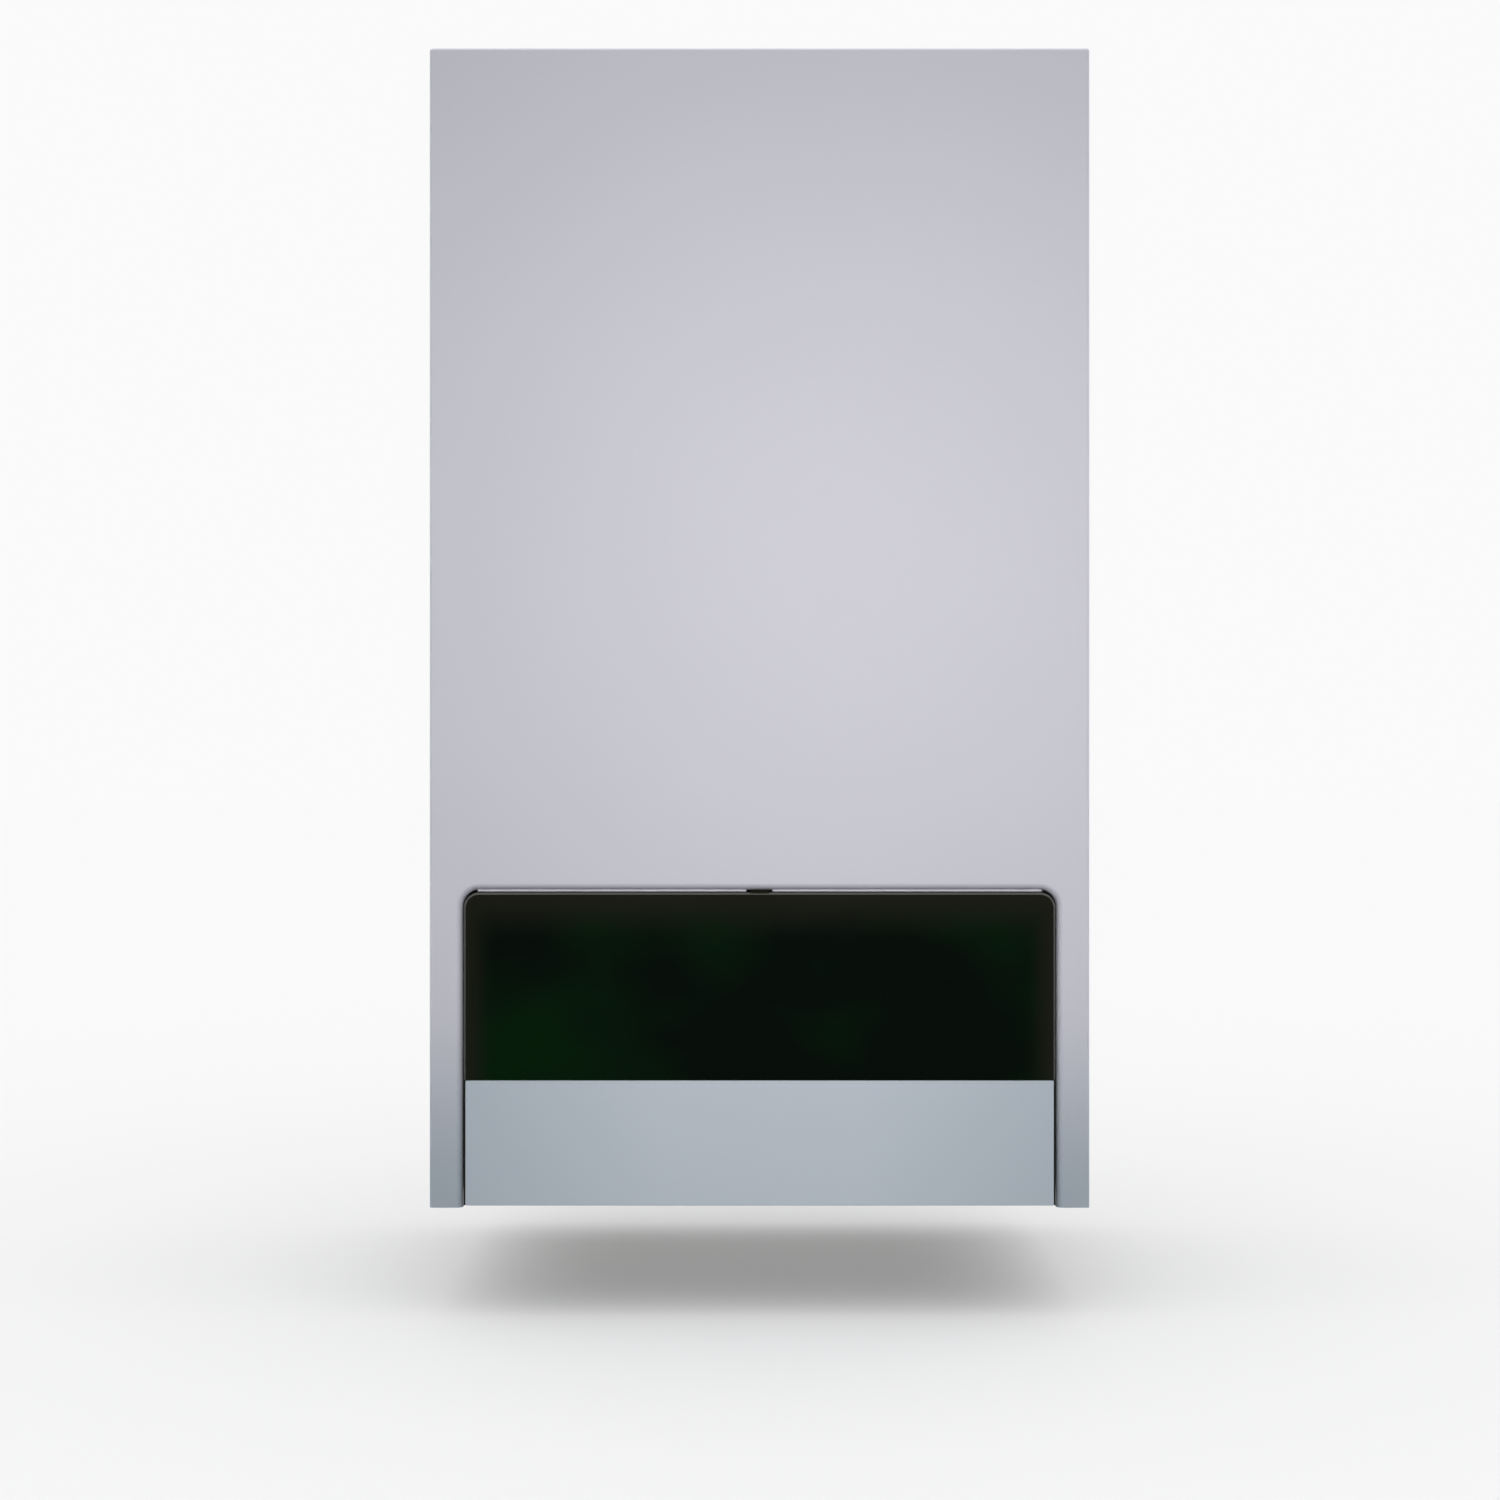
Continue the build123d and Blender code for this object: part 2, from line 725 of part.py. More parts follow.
def make_chamber_cover():
    rim_half = chamber_half + slip + casing_sheet
    rim_bottom = chamber_floor - slip - casing_sheet
    rim_top = panel_under - cover_flange - cover_top_gap
    bead_half, bead_tall = rim_half - cover_bead_inset, rim_top - rim_bottom - 2 * cover_bead_inset
    hollow_corner = cover_bead_corner - casing_sheet
    with BuildPart() as chamber_cover:
        block(-rim_half, rim_half, cover_front, cover_front + cover_flange, rim_bottom, rim_top)
        block(-rim_half + casing_sheet, rim_half - casing_sheet, cover_rear, cover_front + cover_flange,
              rim_bottom + casing_sheet, rim_top - casing_sheet, Mode.SUBTRACT)
        block(-rim_half, rim_half, cover_front + casing_sheet, cover_front + cover_flange,
              rim_top - casing_sheet, rim_top, Mode.SUBTRACT)
        with BuildSketch(facing_front(0, cover_front, (rim_bottom + rim_top) / 2)):
            RectangleRounded(2 * bead_half, bead_tall, cover_bead_corner)
        extrude(amount=bead_height)
        with BuildSketch(facing_front(0, cover_rear, (rim_bottom + rim_top) / 2)):
            RectangleRounded(2 * (bead_half - casing_sheet), bead_tall - 2 * casing_sheet, hollow_corner)
        extrude(amount=bead_height, mode=Mode.SUBTRACT)
        with BuildSketch(facing_front(sight_x, cover_rear, sight_z)):
            Circle(sight_radius)
        extrude(amount=3 * casing_sheet, mode=Mode.SUBTRACT)
        for x, z in cover_screw_places:
            with BuildSketch(facing_front(x, cover_rear, z)):
                Circle(screw_radius + fit)
            extrude(amount=2 * casing_sheet, mode=Mode.SUBTRACT)
    keep(chamber_cover, "chamber_cover")


def make_chamber_seal():
    seal_top = panel_under - cover_flange - cover_top_gap - 2
    with BuildPart() as chamber_seal:
        block(-chamber_half, chamber_half, cover_rear, chamber_front, chamber_floor, seal_top)
        block(-chamber_half + seal_width, chamber_half - seal_width, cover_rear, chamber_front,
              chamber_floor + seal_width, seal_top - seal_width, Mode.SUBTRACT)
        for x, z in cover_screw_places:
            with BuildSketch(facing_front(x, chamber_front, z)):
                Circle(screw_radius + fit)
            extrude(amount=cover_seal, mode=Mode.SUBTRACT)
    keep(chamber_seal, "chamber_seal")


def make_sight_glass():
    with BuildPart() as sight_glass:
        bar(facing_front(sight_x, cover_front - bead_height, sight_z), sight_glass_radius,
            sight_glass_thickness)
        rim = sight_glass.faces().sort_by(Axis.Y)[0].edges()
        chamfer(rim, 0.6)
    keep(sight_glass, "sight_glass")


def make_frame_screws():
    head_seat = frame_top + collar_flange
    with BuildPart() as frame_screws:
        for x, z in cover_screw_places:
            bar(facing_front(x, cover_front, z), screw_head_radius, screw_head_height)
            bar(facing_front(x, chamber_front + screw_grip, z), screw_radius,
                chamber_front + screw_grip - cover_front)
        for x, y in flue_screw_places:
            bar(facing_up(x, y, head_seat), screw_head_radius, screw_head_height)
            bar(facing_up(x, y, panel_under - screw_grip), screw_radius,
                head_seat - panel_under + screw_grip)
    keep(frame_screws, "frame_screws")


def make_flue_collar():
    with BuildPart() as flue_collar:
        bar(facing_up(0, flue_y, frame_top), collar_flange_radius, collar_flange,
            bore=collar_radius - collar_wall)
        bar(facing_up(0, flue_y, frame_top), collar_radius, collar_rise,
            bore=collar_radius - collar_wall)
        with Locations(facing_up(0, flue_y, frame_top)):
            with GridLocations(flue_screw_spacing, flue_screw_spacing, 2, 2):
                Cylinder(screw_radius + fit, 4 * collar_flange, mode=Mode.SUBTRACT)
    keep(flue_collar, "flue_collar")


def make_flue_gas_pipe():
    with BuildPart() as flue_gas_pipe:
        bar(facing_up(0, flue_y, fan_outlet_z), flue_pipe_radius,
            frame_top + collar_rise - fan_outlet_z, bore=flue_pipe_bore)
    keep(flue_gas_pipe, "flue_gas_pipe")


# ---------------------------------------------------------------- fan, hood and air switch
def fan_outline(shrink):
    """The scroll seen from the front: a round case with a straight throat up to the flue."""
    Circle(fan_radius - shrink)
    with Locations((-fan_x, fan_throat / 2 - shrink / 2)):
        Rectangle(2 * (flue_pipe_radius - shrink), fan_throat - shrink)


def make_fan_housing():
    with BuildPart() as fan_housing:
        with BuildSketch(facing_front(fan_x, fan_rear, fan_z)):
            fan_outline(0)
        extrude(amount=fan_depth)
        with BuildSketch(facing_front(fan_x, fan_rear - fan_wall, fan_z)):
            fan_outline(fan_wall)
        extrude(amount=fan_depth - 2 * fan_wall, mode=Mode.SUBTRACT)
        bar(facing_front(fan_x, fan_rear, fan_z), fan_inlet_radius, 2 * fan_wall, mode=Mode.SUBTRACT)
        bar(facing_front(fan_x, fan_front + 2 * fan_wall, fan_z), fan_shaft_radius + 3, 3 * fan_wall,
            mode=Mode.SUBTRACT)
        bar(facing_up(0, flue_y, fan_outlet_z - 2 * fan_wall), fan_depth / 2 - fan_wall, 3 * fan_wall,
            mode=Mode.SUBTRACT)
        hose_stub = facing_right(fan_x - fan_radius - hose_stub_length, flue_y, fan_z)
        bar(hose_stub, hose_radius - 1, hose_stub_length + fan_wall)
    keep(fan_housing, "fan_housing")


def make_fan_motor():
    with BuildPart() as fan_motor:
        bar(facing_front(fan_x, fan_front, fan_z), fan_motor_flange, fan_motor_flange_thickness)
        bar(facing_front(fan_x, fan_front, fan_z), fan_motor_radius, fan_motor_length)
        fillet(fan_motor.edges().filter_by(GeomType.CIRCLE).sort_by(Axis.Y)[0], fan_motor_edge)
        bar(facing_front(fan_x, fan_front, fan_z), fan_shaft_radius + fit, fan_motor_length - 8,
            mode=Mode.SUBTRACT)
    keep(fan_motor, "fan_motor")


def make_fan_impeller():
    disc_front = fan_front + fan_wall + impeller_gap
    with BuildPart() as fan_impeller:
        bar(facing_front(fan_x, disc_front + 2, fan_z), impeller_radius, 2)
        bar(facing_front(fan_x, disc_front + impeller_depth, fan_z), impeller_radius, 2,
            bore=impeller_radius - impeller_rim)
        with BuildSketch(facing_front(fan_x, disc_front + impeller_depth, fan_z)):
            with PolarLocations(impeller_radius - impeller_rim / 2, impeller_blades):
                Rectangle(blade_chord, blade_thickness, rotation=35)
        extrude(amount=impeller_depth)
        bar(facing_front(fan_x, disc_front + impeller_hub_length, fan_z), impeller_hub,
            impeller_hub_length)
        bar(facing_front(fan_x, disc_front + impeller_hub_length + 2, fan_z), fan_shaft_radius,
            disc_front + impeller_hub_length + 2 - fan_front + fan_motor_length - 10)
    keep(fan_impeller, "fan_impeller")


def hood_shape(shrink):
    """The hood's taper from the heat exchanger up to the box behind the fan, then that box."""
    with BuildSketch(facing_up(0, 0, exchanger_top)) as base:
        with Locations((0, (jacket_front + jacket_rear) / 2)):
            Rectangle(2 * (jacket_half - shrink), jacket_rear - jacket_front - 2 * shrink)
    with BuildSketch(facing_up(0, 0, hood_shoulder)) as neck:
        with Locations((fan_x, fan_rear + hood_box_depth / 2)):
            Rectangle(2 * (fan_radius - hood_box_inset - shrink), hood_box_depth - 2 * shrink)
    loft([base.sketch, neck.sketch], ruled=True)


def make_flue_hood():
    box_left, box_right = fan_x - fan_radius + hood_box_inset, fan_x + fan_radius - hood_box_inset
    hood_rear = fan_rear + hood_box_depth
    hood_top = fan_z + fan_radius
    with BuildPart() as hollow:
        hood_shape(hood_sheet)
        block(box_left + hood_sheet, box_right - hood_sheet, fan_rear + hood_sheet,
              hood_rear - hood_sheet, hood_shoulder, hood_top - hood_sheet)
    with BuildPart() as flue_hood:
        hood_shape(0)
        block(box_left, box_right, fan_rear, hood_rear, hood_shoulder, hood_top)
        add(hollow.part, mode=Mode.SUBTRACT)
        bar(facing_front(fan_x, fan_rear + 2 * hood_sheet, fan_z), fan_inlet_radius, 3 * hood_sheet,
            mode=Mode.SUBTRACT)
        bar(facing_right(box_left - hose_stub_length, hood_rear - hood_box_depth / 2, hood_hose_z),
            hose_radius - 1, hose_stub_length + hood_sheet)
    keep(flue_hood, "flue_hood")


def make_air_pressure_switch():
    wall = -chamber_half + chamber_sheet
    with BuildPart() as air_pressure_switch:
        bar(facing_right(wall, switch_y, pressure_switch_z), pressure_switch_base,
            pressure_switch_base_depth)
        bar(facing_right(wall, switch_y, pressure_switch_z), pressure_switch_radius,
            pressure_switch_depth)
        bar(facing_right(wall + pressure_switch_base_depth - 1, switch_y, pressure_switch_z),
            pressure_switch_rim, 2)
        for y, z in hose_ports:
            bar(facing_right(wall + pressure_switch_depth, y, z), hose_radius - 1, hose_stub_length)
    keep(air_pressure_switch, "air_pressure_switch")


def make_pressure_hoses():
    start = -chamber_half + chamber_sheet + pressure_switch_depth
    fan_stub = fan_x - fan_radius - hose_stub_length
    hood_stub = fan_x - fan_radius + hood_box_inset - hose_stub_length
    ends = (
        (fan_stub, flue_y, fan_z),
        (hood_stub, fan_rear + hood_box_depth / 2, hood_hose_z),
    )
    with BuildPart() as pressure_hoses:
        for (y, z), (end_x, end_y, end_z) in zip(hose_ports, ends):
            leave = start + hose_stub_length
            points = [(leave, y, z), (leave + hose_straight, y, z),
                      (end_x - hose_straight, end_y, end_z), (end_x, end_y, end_z)]
            pipe_run(points, hose_bend, hose_radius, hose_radius - hose_wall)
    keep(pressure_hoses, "pressure_hoses")


# ---------------------------------------------------------------- heat exchanger and burner
def make_heat_exchanger_fins():
    fins = int((exchanger_width - 2 * end_plate - fin_pitch) / fin_pitch)
    depth_low = exchanger_y - exchanger_depth / 2
    depth_high = exchanger_y + exchanger_depth / 2
    with BuildPart() as heat_exchanger_fins:
        for index in range(fins):
            x = (index - (fins - 1) / 2) * fin_pitch
            block(x - fin_thickness / 2, x + fin_thickness / 2, depth_low, depth_high,
                  exchanger_bottom, exchanger_top)
        for side in (-1, 1):
            outer = side * exchanger_width / 2
            block(outer - side * end_plate, outer, depth_low, depth_high, exchanger_bottom, exchanger_top)
        with BuildSketch(facing_right(-exchanger_width, exchanger_y, exchanger_z)):
            with GridLocations(tube_pitch, 0, tube_rows, 1):
                Circle(tube_radius)
        extrude(amount=2 * exchanger_width, mode=Mode.SUBTRACT)
    keep(heat_exchanger_fins, "heat_exchanger_fins")


def make_heat_exchanger_tube():
    turn_x = exchanger_width / 2 + tube_turn
    with BuildPart() as heat_exchanger_tube:
        with BuildLine() as serpentine:
            for row in range(tube_rows):
                y = rear_tube_y - row * tube_pitch
                direction = -1 if row % 2 == 0 else 1
                begin = -direction * (tube_end if row == 0 else turn_x)
                end = direction * (tube_end if row == tube_rows - 1 else turn_x)
                Line((begin, y, exchanger_z), (end, y, exchanger_z))
                if row < tube_rows - 1:
                    ThreePointArc(
                        (end, y, exchanger_z),
                        (end + direction * tube_pitch / 2, y - tube_pitch / 2, exchanger_z),
                        (end, y - tube_pitch, exchanger_z),
                    )
        with BuildSketch(facing_right(tube_end, rear_tube_y, exchanger_z)):
            Circle(tube_radius)
            Circle(tube_radius - tube_wall, mode=Mode.SUBTRACT)
        sweep(path=serpentine.wire())
    keep(heat_exchanger_tube, "heat_exchanger_tube")


def make_combustion_box():
    with BuildPart() as combustion_box:
        block(-jacket_half, jacket_half, jacket_front, jacket_rear, jacket_bottom, exchanger_top)
        block(-jacket_half + jacket_sheet, jacket_half - jacket_sheet, jacket_front + jacket_sheet,
              jacket_rear - jacket_sheet, jacket_bottom, exchanger_top, Mode.SUBTRACT)
        for side in (-1, 1):
            leg = side * jacket_leg_x
            block(leg - jacket_leg_half, leg + jacket_leg_half, jacket_rear,
                  chamber_back - chamber_sheet, exchanger_bottom - jacket_leg_height, exchanger_bottom)
        with BuildSketch(facing_right(-exchanger_width, exchanger_y, exchanger_z)):
            with GridLocations(tube_pitch, 0, tube_rows, 1):
                Circle(tube_radius + slip)
        extrude(amount=2 * exchanger_width, mode=Mode.SUBTRACT)
        for x in electrode_places:
            bar(facing_front(x, jacket_front + 2 * jacket_sheet, electrode_z), electrode_radius + fit,
                4 * jacket_sheet, mode=Mode.SUBTRACT)
    keep(combustion_box, "combustion_box")


def make_insulation_boards():
    inside = jacket_half - jacket_sheet
    low, high = jacket_front + jacket_sheet, jacket_rear - jacket_sheet
    with BuildPart() as insulation_boards:
        for side in (-1, 1):
            block(side * (inside - board_thickness), side * inside, low, high, board_bottom,
                  exchanger_bottom)
        block(-inside + board_thickness, inside - board_thickness, low, low + board_thickness,
              board_bottom, exchanger_bottom)
        block(-inside + board_thickness, inside - board_thickness, high - board_thickness, high,
              board_bottom, exchanger_bottom)
        for x in electrode_places:
            bar(facing_front(x, low + board_thickness, electrode_z), electrode_radius + fit,
                board_thickness, mode=Mode.SUBTRACT)
    keep(insulation_boards, "insulation_boards")


def make_burner_bars():
    low = jacket_front + jacket_sheet + board_thickness
    high = jacket_rear - jacket_sheet - board_thickness
    foot = low - burner_front_overrun
    inside = jacket_half - jacket_sheet
    with BuildPart() as burner_bars:
        for index in range(burner_count):
            x = (index - (burner_count - 1) / 2) * burner_pitch
            block(x - burner_width / 2, x + burner_width / 2, foot, high, burner_bottom, burner_top)
            block(x - burner_slot / 2, x + burner_slot / 2, low + burner_slot_depth,
                  high - burner_slot_depth, burner_top - burner_slot_depth, burner_top, Mode.SUBTRACT)
        for start in (high, foot - burner_rail):
            block(-inside, inside, start, start + burner_rail, burner_bottom + burner_slot_depth,
                  burner_top - burner_slot_depth)
    keep(burner_bars, "burner_bars")


def make_burner_manifold():
    reach = manifold_size / 2
    length = (burner_count - 1) / 2 * burner_pitch + manifold_overrun
    inner = reach - manifold_wall
    manifold_foot = manifold_top - manifold_size
    with BuildPart() as burner_manifold:
        block(-length, length, manifold_y - reach, manifold_y + reach, manifold_foot, manifold_top)
        block(-length + manifold_wall, length - manifold_wall, manifold_y - inner, manifold_y + inner,
              manifold_foot + manifold_wall, manifold_top - manifold_wall, Mode.SUBTRACT)
        for index in range(burner_count):
            x = (index - (burner_count - 1) / 2) * burner_pitch
            bar(facing_up(x, manifold_y, manifold_top), nozzle_radius, nozzle_height)
            bar(facing_up(x, manifold_y, manifold_top - 2), nozzle_bore, nozzle_height + 2,
                mode=Mode.SUBTRACT)
        bar(facing_up(0, manifold_y, manifold_foot), pipe_radius - 2 * pipe_wall, 2 * manifold_wall,
            mode=Mode.SUBTRACT)
    keep(burner_manifold, "burner_manifold")


def make_electrodes():
    tip_y = jacket_front + jacket_sheet + board_thickness + electrode_reach
    with BuildPart() as electrodes:
        for x in electrode_places:
            bar(facing_front(x, tip_y, electrode_z), electrode_radius,
                tip_y - jacket_front + electrode_reach)
            bar(facing_front(x, tip_y + electrode_tip, electrode_z), electrode_wire, electrode_tip)
    keep(electrodes, "electrodes")


# ---------------------------------------------------------------- expansion vessel
def vessel_profile(shrink):
    """Half the vessel's section, from its axis out to the rounded corners."""
    radius = vessel_radius - shrink
    with Locations((vessel_mid, vessel_z + radius / 2)):
        section = Rectangle(vessel_depth - 2 * shrink, radius)
    fillet(section.vertices().group_by(Axis.Y)[-1], vessel_corner - shrink)


def make_expansion_vessel():
    spin = Axis((0, 0, vessel_z), (0, 1, 0))
    reach = vessel_radius + vessel_rim
    with BuildPart() as expansion_vessel:
        with BuildSketch(Plane.YZ):
            vessel_profile(0)
            with Locations((vessel_mid, vessel_z + reach / 2)):
                Rectangle(diaphragm + 2 * vessel_wall, reach)
        revolve(axis=spin)
        with BuildSketch(Plane.YZ):
            vessel_profile(vessel_wall)
            with Locations((vessel_mid, vessel_z + (reach + 1) / 2)):
                Rectangle(diaphragm, reach + 1)
        revolve(axis=spin, mode=Mode.SUBTRACT)
        bar(facing_up(0, vessel_port_y, vessel_port_z), vessel_pipe_radius + 2, vessel_port_length)
        bar(facing_up(0, vessel_port_y, vessel_port_z), vessel_pipe_radius - pipe_wall,
            vessel_port_length + 2 * vessel_wall, mode=Mode.SUBTRACT)
    keep(expansion_vessel, "expansion_vessel")


def make_vessel_diaphragm():
    with BuildPart() as vessel_diaphragm:
        bar(facing_front(0, vessel_mid + diaphragm / 2, vessel_z), vessel_radius + vessel_rim, diaphragm)
    keep(vessel_diaphragm, "vessel_diaphragm")


# ---------------------------------------------------------------- hydraulics
def make_copper_pipes():
    top = exchanger_z
    gas_foot = manifold_top - manifold_size
    shift_top = top - 2 * wide_bend
    shift_bottom = (shift_top + chamber_floor) / 2
    with BuildPart() as copper_pipes:
        pipe_run(
            [(0, tail_y, gas_top), (0, tail_y, cross_run_z), (0, manifold_y, cross_run_z),
             (0, manifold_y, gas_foot)],
            [pipe_bend, pipe_bend], pipe_radius, pipe_wall)
        pipe_run(
            [(pump_x, tail_y, pump_top), (pump_x, tail_y, pump_top + 20),
             (riser_x, rear_tube_y, chamber_floor - 8), (riser_x, rear_tube_y, top),
             (tube_end, rear_tube_y, top)],
            [branch_bend, branch_bend - 2, branch_bend], pipe_radius, pipe_wall)
        pipe_run(
            [(-tube_end, front_tube_y, top), (-riser_x, front_tube_y, top),
             (-riser_x, front_tube_y, shift_top), (-riser_x, rear_tube_y, shift_bottom),
             (-riser_x, rear_tube_y, chamber_floor - 10), (flow_x, flow_pipe_y, chamber_floor - 45),
             (flow_x, flow_pipe_y, flow_block_top)],
            [branch_bend, wide_bend, wide_bend, branch_bend, branch_bend], pipe_radius, pipe_wall)
        pipe_run(
            [(0, vessel_port_y, vessel_port_z), (0, vessel_port_y, vessel_port_z - 36),
             (vessel_pipe_x, vessel_pipe_y, cross_run_z), (vessel_pipe_x, vessel_pipe_y, return_block_top)],
            [20, 20], vessel_pipe_radius, pipe_wall)
    keep(copper_pipes, "copper_pipes")


def make_flow_block():
    with BuildPart() as flow_block:
        block(-block_outer, -block_inner, -block_front, -block_rear, block_bottom, flow_block_top)
        block(-block_inner, -arm_inner, -arm_front, -arm_rear, block_bottom, block_bottom + arm_height)
        fillet(flow_block.edges().filter_by(Axis.Z).group_by(Axis.X)[0], 3)
        bar(facing_up(flow_x, tail_y, valve_floor), valve_cavity_radius, valve_room, mode=Mode.SUBTRACT)
        bar(facing_up(flow_x, tail_y, block_bottom), tail_bores[0], valve_floor - block_bottom,
            mode=Mode.SUBTRACT)
        bar(facing_up(flow_x, tail_y, block_bottom), spindle_radius + fit, flow_block_height,
            mode=Mode.SUBTRACT)
        bar(facing_up(flow_x, flow_pipe_y, flow_block_top - 12), pipe_radius - pipe_wall, 12,
            mode=Mode.SUBTRACT)
        bar(facing_up(-tail_spacing, tail_y, block_bottom), tail_bores[1], arm_height - 12,
            mode=Mode.SUBTRACT)
    keep(flow_block, "flow_block")


def make_return_block():
    with BuildPart() as return_block:
        block(block_inner, block_outer, -block_front, -block_rear, block_bottom, return_block_top)
        block(arm_inner, block_inner, -arm_front, -arm_rear, block_bottom, block_bottom + arm_height)
        fillet(return_block.edges().filter_by(Axis.Z).group_by(Axis.X)[-1], 3)
        bar(facing_up(pump_x, tail_y, block_bottom), tail_bores[4], return_block_height, mode=Mode.SUBTRACT)
        bar(facing_up(tail_spacing, tail_y, block_bottom), tail_bores[3], arm_height - 12,
            mode=Mode.SUBTRACT)
        bar(facing_up(vessel_pipe_x, vessel_pipe_y, return_block_top - 14),
            vessel_pipe_radius - pipe_wall, 14, mode=Mode.SUBTRACT)
    keep(return_block, "return_block")


def make_diverter_motor():
    with BuildPart() as diverter_motor:
        block(flow_x - diverter_half, flow_x + diverter_half, tail_y - diverter_front,
              tail_y + diverter_rear, flow_block_top, flow_block_top + diverter_height)
        fillet(diverter_motor.edges().filter_by(Axis.Z), 3)
        plug_z, plug_front = flow_block_top + diverter_height / 2, tail_y - diverter_front
        block(flow_x - diverter_plug_half, flow_x + diverter_plug_half,
              plug_front - diverter_plug_depth, plug_front,
              plug_z - diverter_plug_half, plug_z + diverter_plug_half)
        bar(facing_up(flow_x, tail_y, flow_block_top), spindle_radius + fit,
            spindle_overrun + valve_travel + valve_disc, mode=Mode.SUBTRACT)
    keep(diverter_motor, "diverter_motor")


def make_diverter_spindle():
    disc_bottom = valve_floor + 2
    with BuildPart() as diverter_spindle:
        bar(facing_up(flow_x, tail_y, disc_bottom), valve_disc_radius, valve_disc)
        bar(facing_up(flow_x, tail_y, disc_bottom), spindle_radius,
            flow_block_top - disc_bottom + spindle_overrun)
    keep(diverter_spindle, "diverter_spindle")


def make_plate_heat_exchanger():
    rear = -arm_rear + plate_pack_depth
    bottom = block_bottom + plate_pack_rise
    middle = bottom + plate_pack_height / 2
    pitch = plate_pack_depth / exchanger_plates
    with BuildPart() as plate_heat_exchanger:
        block(-plate_pack_half + plate_inset, plate_pack_half - plate_inset, -arm_rear, rear,
              bottom + plate_inset, bottom + plate_pack_height - plate_inset)
        for index in range(exchanger_plates):
            with BuildSketch(facing_front(0, rear - index * pitch, middle)):
                RectangleRounded(2 * plate_pack_half, plate_pack_height, plate_corner)
            extrude(amount=pitch * 0.6)
        block(-plate_pack_half, plate_pack_half, -arm_rear, -arm_rear + 1.0, bottom + plate_corner,
              bottom + plate_pack_height - plate_corner)
    keep(plate_heat_exchanger, "plate_heat_exchanger")


def make_pump_housing():
    with BuildPart() as pump_housing:
        bar(facing_front(pump_x, pump_front + pump_depth, pump_z), pump_radius, pump_depth)
        bar(facing_up(pump_x, tail_y, return_block_top), pump_port_radius, pump_radius)
        bar(facing_up(pump_x, tail_y, pump_z), pump_port_radius - 1, pump_top - pump_z)
        bar(facing_up(vent_x, tail_y, pump_z), vent_radius / 2, vent_z - pump_z)
        bar(facing_front(pump_x, pump_front + pump_depth - pump_back, pump_z), pump_cavity, pump_depth,
            mode=Mode.SUBTRACT)
        bar(facing_up(pump_x, tail_y, return_block_top), pump_port_bore, pump_radius,
            mode=Mode.SUBTRACT)
        bar(facing_up(pump_x, tail_y, pump_z), pump_port_bore, pump_top - pump_z, mode=Mode.SUBTRACT)
    keep(pump_housing, "pump_housing")


def make_pump_motor():
    with BuildPart() as pump_motor:
        bar(facing_front(pump_x, pump_front, pump_z), pump_radius, pump_flange)
        bar(facing_front(pump_x, pump_front - pump_flange, pump_z), pump_motor_radius, pump_motor_length)
        fillet(pump_motor.edges().filter_by(GeomType.CIRCLE).sort_by(Axis.Y)[0], pump_motor_edge)
        box_left = pump_x - pump_motor_radius - pump_box_depth
        box_front_y = pump_front - pump_motor_length + 10
        block(box_left, box_left + 2 * pump_box_depth - 2, box_front_y, box_front_y + pump_box_length,
              pump_z - pump_box_half, pump_z + pump_box_half)
        bar(facing_front(pump_x, pump_front, pump_z), pump_shaft_radius + fit, pump_motor_length - 10,
            mode=Mode.SUBTRACT)
    keep(pump_motor, "pump_motor")


def make_pump_impeller():
    eye = pump_front + pump_depth - pump_back - 4
    with BuildPart() as pump_impeller:
        bar(facing_front(pump_x, eye - pump_impeller_height, pump_z), pump_impeller_radius, 3)
        with BuildSketch(facing_front(pump_x, eye, pump_z)):
            with PolarLocations(pump_impeller_radius * 0.6, 6):
                Rectangle(pump_impeller_radius * 0.64, 2, rotation=40)
        extrude(amount=pump_impeller_height)
        bar(facing_front(pump_x, eye, pump_z), pump_shaft_radius,
            eye - pump_front + pump_motor_length * 0.6)
    keep(pump_impeller, "pump_impeller")


def make_air_vent():
    with BuildPart() as air_vent:
        bar(facing_up(vent_x, tail_y, vent_z), vent_radius, vent_height)
        fillet(air_vent.edges().filter_by(GeomType.CIRCLE).sort_by(Axis.Z)[-1], 3)
        bar(facing_up(vent_x, tail_y, vent_z), vent_cap_radius, vent_height + vent_cap_height - 2)
    keep(air_vent, "air_vent")


def make_relief_valve():
    body_z = block_bottom + relief_height
    outlet_foot = -relief_outlet_drop
    with BuildPart() as relief_valve:
        bar(facing_front(flow_x, -block_front, body_z), relief_radius, relief_length)
        bar(facing_up(flow_x, relief_outlet_y, outlet_foot), relief_outlet_radius, body_z - outlet_foot)
        hex_bar(facing_up(flow_x, relief_outlet_y, outlet_foot + relief_outlet_thread),
                2 * relief_outlet_radius + 6, relief_nut_height)
        bar(facing_up(flow_x, relief_outlet_y, outlet_foot), relief_outlet_radius - 2,
            body_z - outlet_foot - 6, mode=Mode.SUBTRACT)
        bar(facing_front(flow_x, -block_front - relief_length, body_z), spindle_radius, knob_stem)
    keep(relief_valve, "relief_valve")


def make_relief_knob():
    body_z = block_bottom + relief_height
    knob_rear = -block_front - relief_length - knob_gap
    with BuildPart() as relief_knob:
        bar(facing_front(flow_x, knob_rear, body_z), relief_knob_radius, relief_knob_length)
        with BuildSketch(facing_front(flow_x, knob_rear, body_z)):
            with PolarLocations(relief_knob_radius + knob_flute_offset, 8):
                Circle(knob_flute)
        extrude(amount=relief_knob_length, mode=Mode.SUBTRACT)
        bar(facing_front(flow_x, knob_rear, body_z), spindle_radius + knob_bore_clearance,
            knob_stem + slip, mode=Mode.SUBTRACT)
    keep(relief_knob, "relief_knob")


